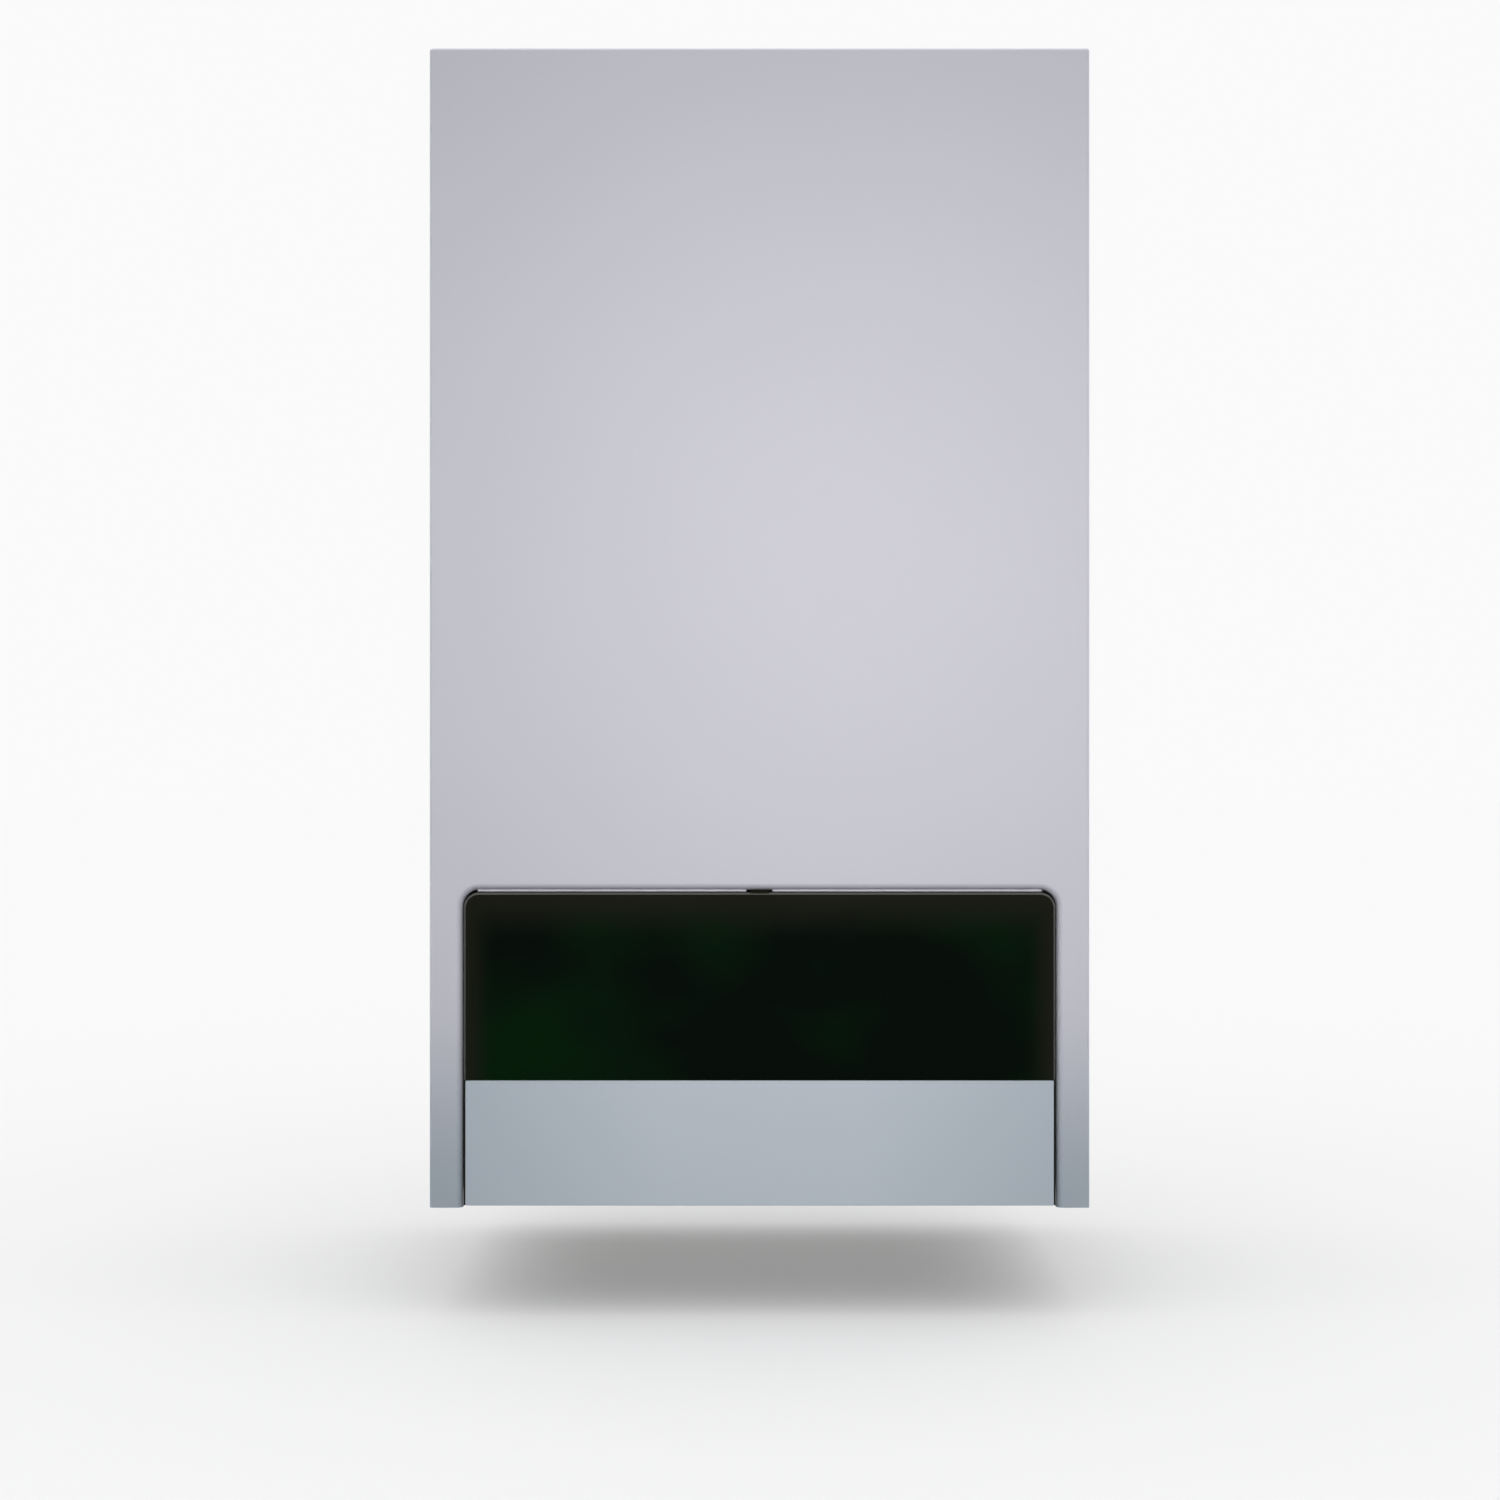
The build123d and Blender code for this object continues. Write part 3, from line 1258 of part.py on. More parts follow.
def make_gas_valve():
    low, high = tail_y - gas_valve_half, tail_y + gas_valve_half
    with BuildPart() as gas_valve:
        block(-gas_valve_half, gas_valve_half, low, high, gas_valve_bottom, gas_top)
        fillet(gas_valve.edges().filter_by(Axis.Z), gas_valve_corner)
        bar(facing_up(0, tail_y, gas_valve_bottom), gas_valve_bore, gas_valve_height,
            mode=Mode.SUBTRACT)
        for x, z in coil_places:
            bar(facing_front(x, low, z), coil_radius - 1, coil_neck)
            bar(facing_front(x, low - coil_neck, z), coil_radius, coil_length - coil_neck)
    keep(gas_valve, "gas_valve")


def make_pipe_tails():
    tops = (block_bottom, block_bottom, gas_valve_bottom, block_bottom, block_bottom)
    nut_top = frame_bottom - tail_nut_gap
    nut_foot = nut_top - tail_nut_height
    with BuildPart() as pipe_tails:
        for index in range(5):
            x = (index - 2) * tail_spacing
            thread, neck, bore = tail_threads[index], tail_necks[index], tail_bores[index]
            bar(facing_up(x, tail_y, -tail_drop), thread, nut_foot + tail_drop, bore=bore)
            hex_bar(facing_up(x, tail_y, nut_foot), 2 * thread + 4, tail_nut_height, bore=bore)
            bar(facing_up(x, tail_y, nut_top), neck, tops[index] - nut_top, bore=bore)
    keep(pipe_tails, "pipe_tails")


def make_filling_valve():
    foot = frame_bottom - filling_drop
    with BuildPart() as filling_valve:
        bar(facing_up(filling_x, tail_y, foot), filling_radius, block_bottom - foot)
        hex_bar(facing_up(filling_x, tail_y, foot), filling_nut_flats, filling_nut_height)
        bar(facing_up(filling_x, tail_y, foot - filling_stem), spindle_radius, filling_stem)
    keep(filling_valve, "filling_valve")


def make_filling_knob():
    knob_top = frame_bottom - filling_drop - knob_gap
    knob_foot = knob_top - filling_knob_height
    bore_depth = filling_stem + slip
    with BuildPart() as filling_knob:
        bar(facing_up(filling_x, tail_y, knob_foot), filling_knob_radius, filling_knob_height)
        with BuildSketch(facing_up(filling_x, tail_y, knob_foot)):
            with PolarLocations(filling_knob_radius + knob_flute_offset, 6):
                Circle(knob_flute)
        extrude(amount=filling_knob_height, mode=Mode.SUBTRACT)
        bar(facing_up(filling_x, tail_y, knob_top - bore_depth), spindle_radius + knob_bore_clearance,
            bore_depth, mode=Mode.SUBTRACT)
    keep(filling_knob, "filling_knob")


def make_cable_gland():
    gland_foot = frame_bottom - gland_drop
    gland_length = gland_drop + frame_sheet + gland_rise
    with BuildPart() as cable_gland:
        bar(facing_up(gland_x, gland_y, gland_foot), gland_radius, gland_length)
        hex_bar(facing_up(gland_x, gland_y, frame_bottom - gland_nut), gland_flats, gland_nut)
        hex_bar(facing_up(gland_x, gland_y, frame_bottom + frame_sheet), gland_flats, gland_lock_nut)
        bar(facing_up(gland_x, gland_y, gland_foot), gland_bore, gland_length, mode=Mode.SUBTRACT)
    keep(cable_gland, "cable_gland")


# ---------------------------------------------------------------- casing
def opening_outline(grow):
    """The opening in the casing's front: square at the bottom, rounded at the top."""
    width = 2 * (opening_half + grow)
    height = opening_height + grow + 30
    with Locations((0, opening_height + grow - height / 2)):
        RectangleRounded(width, height, opening_corner + grow)


def make_front_casing():
    back = -casing_wall_gap
    with BuildPart() as hollow:
        block(-inner_half, inner_half, front + casing_sheet, back + 1, -1, casing_height - casing_sheet)
        bent = hollow.edges().filter_by(Axis.Z).group_by(Axis.Y)[0]
        bent += hollow.edges().filter_by(Axis.X).group_by(Axis.Y)[0].sort_by(Axis.Z)[-1:]
        bent += hollow.edges().filter_by(Axis.Y).group_by(Axis.Z)[-1]
        fillet(bent, casing_bend - casing_sheet)
    with BuildPart() as front_casing:
        block(-half, half, front, back, 0, casing_height)
        bent = front_casing.edges().filter_by(Axis.Z).group_by(Axis.Y)[0]
        bent += front_casing.edges().filter_by(Axis.X).group_by(Axis.Y)[0].sort_by(Axis.Z)[-1:]
        bent += front_casing.edges().filter_by(Axis.Y).group_by(Axis.Z)[-1]
        fillet(bent, casing_bend)
        add(hollow.part, mode=Mode.SUBTRACT)
        block(-half, half, front + casing_top_return, back + 1, casing_height - top_drop / 2,
              casing_height + 1, Mode.SUBTRACT)
        with BuildSketch(facing_front(0, front + opening_return, 0)):
            opening_outline(casing_sheet)
        extrude(amount=opening_return - casing_sheet)
        with BuildSketch(facing_front(0, front + opening_return + 1, 0)):
            opening_outline(0)
        extrude(amount=opening_return + 2, mode=Mode.SUBTRACT)
        block(-half, half, front - 1, back, -60, 0, Mode.SUBTRACT)
        seam = front_casing.edges().filter_by(lambda e: abs(e.center().Y - front - casing_sheet) < 0.01)
        seam = seam.filter_by(lambda e: on_opening(e, casing_sheet))
        fillet(seam, opening_bend - casing_sheet)
        rim = front_casing.edges().filter_by(lambda e: abs(e.center().Y - front) < 0.01)
        rim = rim.filter_by(lambda e: on_opening(e, 0))
        fillet(rim, opening_bend)
        for side in (-1, 1):
            y0 = front + tab_setback
            block(side * (inner_half - tab_width), side * inner_half, y0, y0 + tab_length, 0, casing_sheet)
            with Locations((side * screw_x, screw_y, 0)):
                Cylinder(screw_radius + fit, 4 * casing_sheet, mode=Mode.SUBTRACT)
    keep(front_casing, "front_casing")


def on_opening(edge, grow):
    """True for the edges that run round the opening at that distance from its outline."""
    box = edge.bounding_box()
    inside = opening_half + grow + 0.01
    return abs(box.min.X) < inside and abs(box.max.X) < inside and box.max.Z < opening_height + grow + 0.01


def make_casing_screws():
    nut_bottom = tray_rail_bottom + frame_sheet + screw_slack
    with BuildPart() as casing_screws:
        for side in (-1, 1):
            x = side * screw_x
            bar(facing_up(x, screw_y, -screw_head_height), screw_head_radius, screw_head_height)
            with BuildSketch(facing_up(x, screw_y, -screw_head_height)):
                Rectangle(2 * screw_head_radius, screw_slot)
                Rectangle(screw_slot, 2 * screw_head_radius)
            extrude(amount=screw_slot, mode=Mode.SUBTRACT)
            bar(facing_up(x, screw_y, 0), screw_radius, nut_bottom + nut_height + 1)
            hex_bar(facing_up(x, screw_y, nut_bottom), nut_flats, nut_height)
    keep(casing_screws, "casing_screws")


# ---------------------------------------------------------------- control box
def box_outline():
    """The control box seen from its side, with the lower front corner cut out for the flap's hinge."""
    Polygon(
        (box_front, notch_height),
        (box_front, box_top),
        (box_pivot_y + box_slope_start, box_top),
        (box_rear, box_top - box_slope),
        (box_rear, box_bottom),
        (notch_rear, box_bottom),
        (notch_rear, notch_height),
        align=None,
    )


def make_control_box():
    inner_half_width = box_half - box_wall
    with BuildPart() as control_box:
        with BuildSketch(Plane.YZ.offset(-box_half)):
            box_outline()
        extrude(amount=2 * box_half)
        with BuildSketch(Plane.YZ.offset(-inner_half_width)):
            box_outline()
            offset(amount=-box_wall, kind=Kind.INTERSECTION, mode=Mode.REPLACE)
        extrude(amount=2 * inner_half_width, mode=Mode.SUBTRACT)
        block(-inner_half_width, inner_half_width, box_front - 1, box_front + box_wall + 1,
              notch_height + box_wall, box_top - box_wall, Mode.SUBTRACT)
        block(-inner_half_width, inner_half_width, box_rear - box_wall - 1, box_rear + 1,
              box_bottom + box_wall, box_top - box_slope - box_wall, Mode.SUBTRACT)
        for side in (-1, 1):
            for inner in (lug_outer - lug_width, inner_lug):
                start = side * (inner if side > 0 else inner + lug_width)
                with BuildSketch(facing_right(start, flap_axis_y, flap_axis_height)):
                    Circle(lug_radius)
                    with Locations((0, (notch_height + 1 - flap_axis_height) / 2)):
                        Rectangle(2 * lug_radius, notch_height + 1 - flap_axis_height)
                extrude(amount=lug_width)
        with BuildSketch(facing_right(-box_half, flap_axis_y, flap_axis_height)):
            Circle(flap_pin_radius + 0.05)
        extrude(amount=2 * box_half, mode=Mode.SUBTRACT)
        with BuildSketch(facing_right(-box_half, box_pivot_y, box_pivot_height)):
            Circle(box_pin_radius + 0.05)
        extrude(amount=2 * box_half, mode=Mode.SUBTRACT)
    keep(control_box, "control_box")


def make_control_box_cover():
    bottom = box_bottom + box_wall + fascia_gap
    top = box_top - box_slope - box_wall - fascia_gap
    with BuildPart() as control_box_cover:
        block(-fascia_half, fascia_half, box_rear - box_wall, box_rear, bottom, top)
        with BuildSketch(facing_front(0, box_rear, (bottom + top) / 2)):
            with GridLocations(vent_slot_spacing, vent_slot_pitch, 2, 5):
                SlotOverall(vent_slot_length, vent_slot_height)
        extrude(amount=box_wall, mode=Mode.SUBTRACT)
    keep(control_box_cover, "control_box_cover")


def make_control_fascia():
    with BuildPart() as control_fascia:
        block(-fascia_half, fascia_half, box_front, fascia_back, fascia_bottom, fascia_top)
        block(-fascia_half + fascia_wall, fascia_half - fascia_wall, box_front, fascia_face,
              fascia_bottom + fascia_wall, fascia_top - fascia_wall, Mode.SUBTRACT)
        bar(facing_front(gauge_x, fascia_back, gauge_height), gauge_radius - 2, fascia_floor,
            mode=Mode.SUBTRACT)
        half_width, half_height = display_width / 2 - display_lip, display_height / 2 - display_lip
        block(-half_width, half_width, fascia_face, fascia_back, display_z - half_height,
              display_z + half_height, Mode.SUBTRACT)
        for side in (-1, 1):
            bar(facing_front(side * button_spacing / 2, fascia_back, button_z), button_radius + button_gap,
                fascia_floor, mode=Mode.SUBTRACT)
        for x in (heating_knob_x, hot_water_knob_x):
            bar(facing_front(x, fascia_back, knob_z), knob_shaft_radius + fit, fascia_floor,
                mode=Mode.SUBTRACT)
        switch_half = switch_width / 2 + switch_ear_gap
        block(switch_x - switch_half, switch_x + switch_half, fascia_face, fascia_back,
              switch_z - switch_height / 2 - switch_gap, switch_z + switch_height / 2 + switch_gap,
              Mode.SUBTRACT)
        for x, z in board_posts:
            bar(facing_front(x, board_front, z), board_post_radius, board_gap)
        for side in (-1, 1):
            ear = switch_x + side * switch_half
            block(ear, ear + side * switch_ear, fascia_back, fascia_back + switch_ear_depth,
                  switch_z - switch_ear_half, switch_z + switch_ear_half)
        with BuildSketch(facing_right(switch_x - switch_width, switch_axis_y, switch_z)):
            Circle(switch_pin_radius + fit)
        extrude(amount=2 * switch_width, mode=Mode.SUBTRACT)
    keep(control_fascia, "control_fascia")


def make_circuit_board():
    with BuildPart() as circuit_board:
        block(-board_half, board_half, board_front, board_back, board_low, board_high)
        bar(facing_front(gauge_x, board_back, gauge_height), gauge_radius + 2, circuit_board_thickness,
            mode=Mode.SUBTRACT)
        block(switch_x - switch_room_half_width, switch_x + switch_room_half_width, board_front,
              board_back, switch_z - switch_room_half, switch_z + switch_room_half, Mode.SUBTRACT)
        for x in (heating_knob_x, hot_water_knob_x):
            bar(facing_front(x, board_front, knob_z), dial_sensor_radius, dial_sensor_depth)
            bar(facing_front(x, board_front, knob_z), knob_shaft_radius + fit, dial_sensor_depth,
                mode=Mode.SUBTRACT)
        for side in (-1, 1):
            x = side * button_spacing / 2
            block(x - key_switch_half, x + key_switch_half, board_front - key_switch_depth, board_front,
                  button_z - key_switch_half, button_z + key_switch_half)
        foot = board_low + part_foot
        block(-transformer_width - relay_width / 2, -relay_width / 2, board_back,
              board_back + transformer_depth, foot, foot + transformer_height)
        for index in range(2):
            left = relay_width / 2 + index * relay_pitch
            block(left, left + relay_width, board_back, board_back + relay_depth, foot,
                  foot + relay_depth)
        for index in range(2):
            bar(facing_front(heating_knob_x - 4 + index * capacitor_pitch, board_back + capacitor_length,
                             foot + part_foot), capacitor_radius, capacitor_length)
        strip_low = board_low + strip_foot
        block(-board_half / 2, board_half - 2 * strip_foot, board_back, board_back + strip_depth,
              strip_low, strip_low + strip_height)
        block(-processor_width / 2, processor_width / 2, board_back, board_back + processor_depth,
              display_z - processor_height / 2, display_z + processor_height / 2)
    keep(circuit_board, "circuit_board")


def make_display():
    lens_half = display_width / 2 - display_lip - fascia_gap
    lens_tall = display_height / 2 - display_lip - fascia_gap
    back_half, back_tall = display_width / 2 + display_lip, display_height / 2 + display_lip
    with BuildPart() as display:
        block(-lens_half, lens_half, fascia_face - 2 * fascia_gap, fascia_back, display_z - lens_tall,
              display_z + lens_tall)
        block(-back_half, back_half, fascia_back, fascia_back + display_depth, display_z - back_tall,
              display_z + back_tall)
        for x in (-display_width / 2, display_width / 2):
            bar(facing_front(x, board_front, display_z), display_peg_radius, board_front - fascia_back)
    keep(display, "display")


def make_pressure_gauge():
    with BuildPart() as pressure_gauge:
        bar(facing_front(gauge_x, fascia_back + gauge_depth, gauge_height),
            gauge_radius - 2 - fascia_gap, gauge_depth + fascia_floor)
        bar(facing_front(gauge_x, fascia_face, gauge_height), gauge_radius + 1, gauge_rim)
        bar(facing_front(gauge_x, fascia_face - 1, gauge_height), gauge_radius - 1.5, gauge_rim,
            mode=Mode.SUBTRACT)
        outer = pressure_gauge.faces().sort_by(Axis.Y)[0].edges().sort_by(SortBy.LENGTH)[-1]
        fillet(outer, 1)
        bar(facing_front(gauge_x, fascia_face - 1, gauge_height), gauge_post_radius, 2.2)
        bar(facing_front(gauge_x, fascia_back + gauge_depth + gauge_stub, gauge_height),
            gauge_stub_radius, gauge_stub)
    keep(pressure_gauge, "pressure_gauge")


def make_gauge_needle():
    face = fascia_face - 1 - 0.6
    with BuildPart() as gauge_needle:
        with BuildSketch(facing_front(gauge_x, face, gauge_height)):
            Circle(needle_hub)
            with Locations((0, needle_offset)):
                Rectangle(needle_width, needle_length)
            Circle(gauge_post_radius + fit, mode=Mode.SUBTRACT)
        extrude(amount=needle_thickness)
    keep(gauge_needle, "gauge_needle")


def make_knob(x, node):
    rear = fascia_face - 0.4
    with BuildPart() as knob:
        bar(facing_front(x, rear, knob_z), knob_radius, knob_height)
        fillet(knob.edges().filter_by(GeomType.CIRCLE).sort_by(Axis.Y)[0], knob_edge)
        with BuildSketch(facing_front(x, rear - knob_skirt, knob_z)):
            with PolarLocations(knob_radius + knob_groove_offset, knob_grooves):
                Circle(knob_groove)
        extrude(amount=knob_height, mode=Mode.SUBTRACT)
        with BuildSketch(facing_front(x, rear - knob_height + 1, knob_z)):
            with Locations((0, knob_radius - pointer_inset)):
                Rectangle(pointer_width, pointer_length)
        extrude(amount=pointer_height)
        bar(facing_front(x, board_front - 1, knob_z), knob_shaft_radius, board_front - 1 - rear)
    keep(knob, node)


def make_button(x, node):
    foot = board_front - key_switch_depth - button_travel - button_gap
    collar = fascia_back + button_gap + button_collar_depth
    with BuildPart() as button:
        bar(facing_front(x, foot, button_z), button_radius, foot - fascia_face + button_rise)
        fillet(button.edges().filter_by(GeomType.CIRCLE).sort_by(Axis.Y)[0], 1)
        bar(facing_front(x, collar, button_z), button_radius + button_collar, button_collar_depth)
    keep(button, node)


def make_power_switch():
    reach = fascia_face - switch_rise - switch_axis_y
    with BuildPart() as power_switch:
        with BuildSketch(Plane.YZ.offset(switch_x - switch_width / 2)):
            with Locations((switch_axis_y, switch_z)):
                Polygon(
                    (switch_heel, -switch_heel_half),
                    (reach, -switch_height / 2),
                    (reach + 1, 0),
                    (reach, switch_height / 2),
                    (switch_heel, switch_heel_half),
                    rotation=-switch_tilt,
                    align=None,
                )
        extrude(amount=switch_width)
        bar(facing_right(switch_x - switch_width / 2 - switch_pin_overrun, switch_axis_y, switch_z),
            switch_pin_radius, switch_width + 2 * switch_pin_overrun)
    keep(power_switch, "power_switch")


# ---------------------------------------------------------------- flap
def make_flap_panel():
    height = flap_top - flap_bottom
    with BuildPart() as flap_panel:
        with BuildSketch(facing_front(0, flap_back, flap_bottom + height / 2)):
            slab = Rectangle(2 * flap_half, height)
            fillet(slab.vertices().group_by(Axis.Y)[-1], opening_corner - flap_gap)
        extrude(amount=flap_thickness)
        face = flap_panel.faces().sort_by(Axis.Y)[0]
        chamfer(face.edges().filter_by(lambda e: e.center().Z > flap_bottom + 1), flap_bevel)
        block(-half, half, flap_front - 1, flap_front + plate_thickness, 0, plate_height + 0.2,
              Mode.SUBTRACT)
        with BuildSketch(facing_front(0, flap_back + flap_rim_depth, flap_bottom + height / 2)):
            outer = Rectangle(2 * flap_half, height)
            fillet(outer.vertices().group_by(Axis.Y)[-1], opening_corner - flap_gap)
            hole = Rectangle(2 * (flap_half - flap_rim), height - 2 * flap_rim, mode=Mode.SUBTRACT)
        extrude(amount=flap_rim_depth)
        block(-half, half, flap_back, flap_back + flap_rim_depth + 1, 0, notch_height, Mode.SUBTRACT)
        block(-catch_width / 2, catch_width / 2, flap_front + 0.5, flap_back, flap_top,
              flap_top + catch_height)
        for side in (-1, 1):
            inner = lug_outer - 2 * lug_width - lug_gap
            start = side * (inner if side > 0 else inner + lug_width)
            with BuildSketch(facing_right(start, flap_axis_y, flap_axis_height)):
                Circle(lug_radius)
                with Locations(((flap_back - flap_axis_y) / 2, 0)):
                    Rectangle(abs(flap_back - flap_axis_y), 2 * lug_radius)
            extrude(amount=lug_width)
        with BuildSketch(facing_right(-flap_half, flap_axis_y, flap_axis_height)):
            Circle(flap_pin_radius + fit)
        extrude(amount=2 * flap_half, mode=Mode.SUBTRACT)
    keep(flap_panel, "flap_panel")


def make_flap_lower_plate():
    with BuildPart() as flap_lower_plate:
        with BuildSketch(facing_front(0, flap_front + plate_thickness, (flap_bottom + plate_height) / 2)):
            RectangleRounded(2 * plate_half, plate_height - flap_bottom, 0.8)
        extrude(amount=plate_thickness)
        chamfer(flap_lower_plate.faces().sort_by(Axis.Y)[0].edges(), 0.3)
    keep(flap_lower_plate, "flap_lower_plate")


def make_hinge_pins():
    with BuildPart() as hinge_pins:
        for side in (-1, 1):
            inner = inner_lug - pin_overrun
            length = lug_outer - inner_lug + 2 * pin_overrun
            start = side * (inner if side > 0 else inner + length)
            bar(facing_right(start, flap_axis_y, flap_axis_height), flap_pin_radius, length)
            inner = box_half - box_wall - box_pin_overrun
            length = tray_half + box_pin_overrun - inner
            start = side * (inner if side > 0 else inner + length)
            bar(facing_right(start, box_pivot_y, box_pivot_height), box_pin_radius, length)
    keep(hinge_pins, "hinge_pins")


# ---------------------------------------------------------------- places that several pieces share
tail_threads = (large_thread, small_thread, large_thread, small_thread, large_thread)
tail_necks = tuple(thread - 1.5 for thread in tail_threads)
tail_bores = tuple(thread - 3.7 for thread in tail_threads)
filling_x = 1.5 * tail_spacing
coil_places = [
    (-coil_spacing / 2, gas_valve_bottom + coil_radius + coil_edge),
    (coil_spacing / 2, gas_valve_bottom + coil_radius + coil_edge),
    (0.0, gas_top - coil_radius - coil_edge),
]
relief_outlet_y = -block_front - relief_radius
gland_x = tray_half - gland_inset
gland_y = tray_front + gland_setback
flue_screw_places = [
    (x, flue_y + y)
    for x in (-flue_screw_spacing / 2, flue_screw_spacing / 2)
    for y in (-flue_screw_spacing / 2, flue_screw_spacing / 2)
]
flow_pipe_y = -block_rear - pipe_radius - pipe_gap
vessel_pipe_x = block_inner + branch_bend
vessel_pipe_y = -block_rear - vessel_pipe_radius - 1
vessel_port_y = vessel_mid - vessel_port_offset
vessel_port_z = vessel_z - vessel_radius - vessel_port_drop
valve_floor = block_bottom + valve_seat_height
valve_room = valve_travel + valve_disc + 6
vent_x = pump_x - vent_offset
vent_z = pump_z + pump_radius
sight_z = burner_top + sight_rise
switch_y = chamber_front + pressure_switch_setback
pressure_switch_z = fan_z + pressure_switch_rise
hose_ports = (
    (switch_y - hose_port_spread, pressure_switch_z - hose_port_spread),
    (switch_y + hose_port_spread, pressure_switch_z + hose_port_spread),
)
hood_hose_z = fan_z + hood_hose_rise
electrode_z = board_bottom + electrode_rise
electrode_places = (-electrode_spacing, 0.0, 2 * electrode_spacing)
cover_middle_z = (chamber_floor + panel_under) / 2
cover_screw_places = [
    (side * (chamber_half - seal_width / 2), z)
    for side in (-1, 1)
    for z in (chamber_floor + 12, cover_middle_z, panel_under - 34)
]
board_half = fascia_half - board_inset
board_low = box_bottom + board_rise
board_high = box_top - board_top_gap
board_posts = [
    (side * (board_half - board_post_inset), z)
    for side in (-1, 1)
    for z in (fascia_bottom + 8, board_high - board_post_drop)
]
switch_axis_y = fascia_back + 3.0


def main():
    make_wall_bracket()
    make_rear_frame()
    make_top_panel()
    make_bottom_tray()
    make_chamber_shell()
    make_chamber_cover()
    make_chamber_seal()
    make_sight_glass()
    make_frame_screws()
    make_flue_collar()
    make_flue_gas_pipe()
    make_fan_housing()
    make_fan_motor()
    make_fan_impeller()
    make_flue_hood()
    make_air_pressure_switch()
    make_pressure_hoses()
    make_heat_exchanger_fins()
    make_heat_exchanger_tube()
    make_combustion_box()
    make_insulation_boards()
    make_burner_bars()
    make_burner_manifold()
    make_electrodes()
    make_expansion_vessel()
    make_vessel_diaphragm()
    make_copper_pipes()
    make_flow_block()
    make_return_block()
    make_diverter_motor()
    make_diverter_spindle()
    make_plate_heat_exchanger()
    make_pump_housing()
    make_pump_motor()
    make_pump_impeller()
    make_air_vent()
    make_relief_valve()
    make_relief_knob()
    make_gas_valve()
    make_pipe_tails()
    make_filling_valve()
    make_filling_knob()
    make_cable_gland()
    make_front_casing()
    make_casing_screws()
    make_control_box()
    make_control_box_cover()
    make_control_fascia()
    make_circuit_board()
    make_display()
    make_pressure_gauge()
    make_gauge_needle()
    make_knob(heating_knob_x, "heating_knob")
    make_knob(hot_water_knob_x, "hot_water_knob")
    make_button(-button_spacing / 2, "reset_button")
    make_button(button_spacing / 2, "service_button")
    make_power_switch()
    make_flap_panel()
    make_flap_lower_plate()
    make_hinge_pins()


main()
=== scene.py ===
"""Finishes, printed marks, fittings, floor, lamps and camera for a wall-hung combi boiler.

Run as a script. The CAD frame is loaded first. Its nodes keep their meshes, apart from the plain pipe
tails, which threaded ones replace, and every piece made here rides on one of its bodies. All places are
in metres, in the frame's own axes: x to the right, y into the wall, z up.
"""

import math

import bmesh
import bpy
import numpy as np
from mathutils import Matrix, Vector


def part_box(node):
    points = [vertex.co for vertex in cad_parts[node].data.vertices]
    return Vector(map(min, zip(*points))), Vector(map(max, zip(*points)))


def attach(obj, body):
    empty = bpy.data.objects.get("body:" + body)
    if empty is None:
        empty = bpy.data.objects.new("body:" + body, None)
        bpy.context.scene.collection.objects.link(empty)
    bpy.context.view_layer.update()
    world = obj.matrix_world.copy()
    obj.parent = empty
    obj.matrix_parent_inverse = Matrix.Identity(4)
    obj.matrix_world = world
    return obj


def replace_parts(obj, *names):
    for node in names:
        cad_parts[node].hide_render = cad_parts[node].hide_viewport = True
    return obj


bl_info = {
    "name": "Combi boiler dressing",
    "version": (1, 0, 0),
    "blender": (4, 5, 0),
    "location": "View3D > Sidebar > Boiler",
    "description": "Paint, metal, plastic and printed marks for a wall-hung combi boiler",
    "category": "Object",
}

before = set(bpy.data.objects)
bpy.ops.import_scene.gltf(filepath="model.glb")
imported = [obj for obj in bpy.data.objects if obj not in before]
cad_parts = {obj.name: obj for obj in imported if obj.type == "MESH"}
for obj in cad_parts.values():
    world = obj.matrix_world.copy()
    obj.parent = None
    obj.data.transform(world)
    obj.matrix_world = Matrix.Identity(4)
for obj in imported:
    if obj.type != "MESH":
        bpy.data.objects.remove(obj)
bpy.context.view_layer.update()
MM = 0.001
CATCH = 1.2 * MM  # how far the flap's catch stands above the panel's top edge
RIM_DEPTH = 13 * MM  # from the fascia's rim back to its flat face
TAIL_SPACING = 65 * MM  # between the pipe tails
TAIL_LINE = -95 * MM  # the y of the pipe tails and of the pipes straight above them
GAS_VALVE_FACE = -133 * MM  # the y of the gas valve's front
BOARD_FACE = -260.4 * MM  # the y of the circuit board's rear face, which carries its larger parts
CREASE_DEGREES = 30  # edges sharper than this stay sharp in a smooth surface
CAP_HEIGHT = 0.72  # a figure's height as a share of its type size
SEAT = 0.05 * MM  # left between a turned piece and the face that it stands on


# ---------------------------------------------------------------- small helpers
def linear(hex_colour):
    """sRGB hex to linear light: c/12.92 below 0.04045, otherwise ((c + 0.055)/1.055) to the power 2.4."""
    code = hex_colour.lstrip("#")
    parts = [int(code[i:i + 2], 16) / 255 for i in (0, 2, 4)]
    return tuple(c / 12.92 if c <= 0.04045 else ((c + 0.055) / 1.055) ** 2.4 for c in parts)


def add_node(tree, kind, sockets=None, **settings):
    """Adds a node, sets its properties, and fills its sockets with values or links."""
    node = tree.nodes.new(kind)
    for name, value in settings.items():
        setattr(node, name, value)
    for key, value in (sockets or {}).items():
        socket = node.inputs[key]
        if isinstance(value, bpy.types.NodeSocket):
            tree.links.new(value, socket)
        elif socket.type == "RGBA":
            socket.default_value = (*value[:3], 1.0)
        else:
            socket.default_value = value
    return node


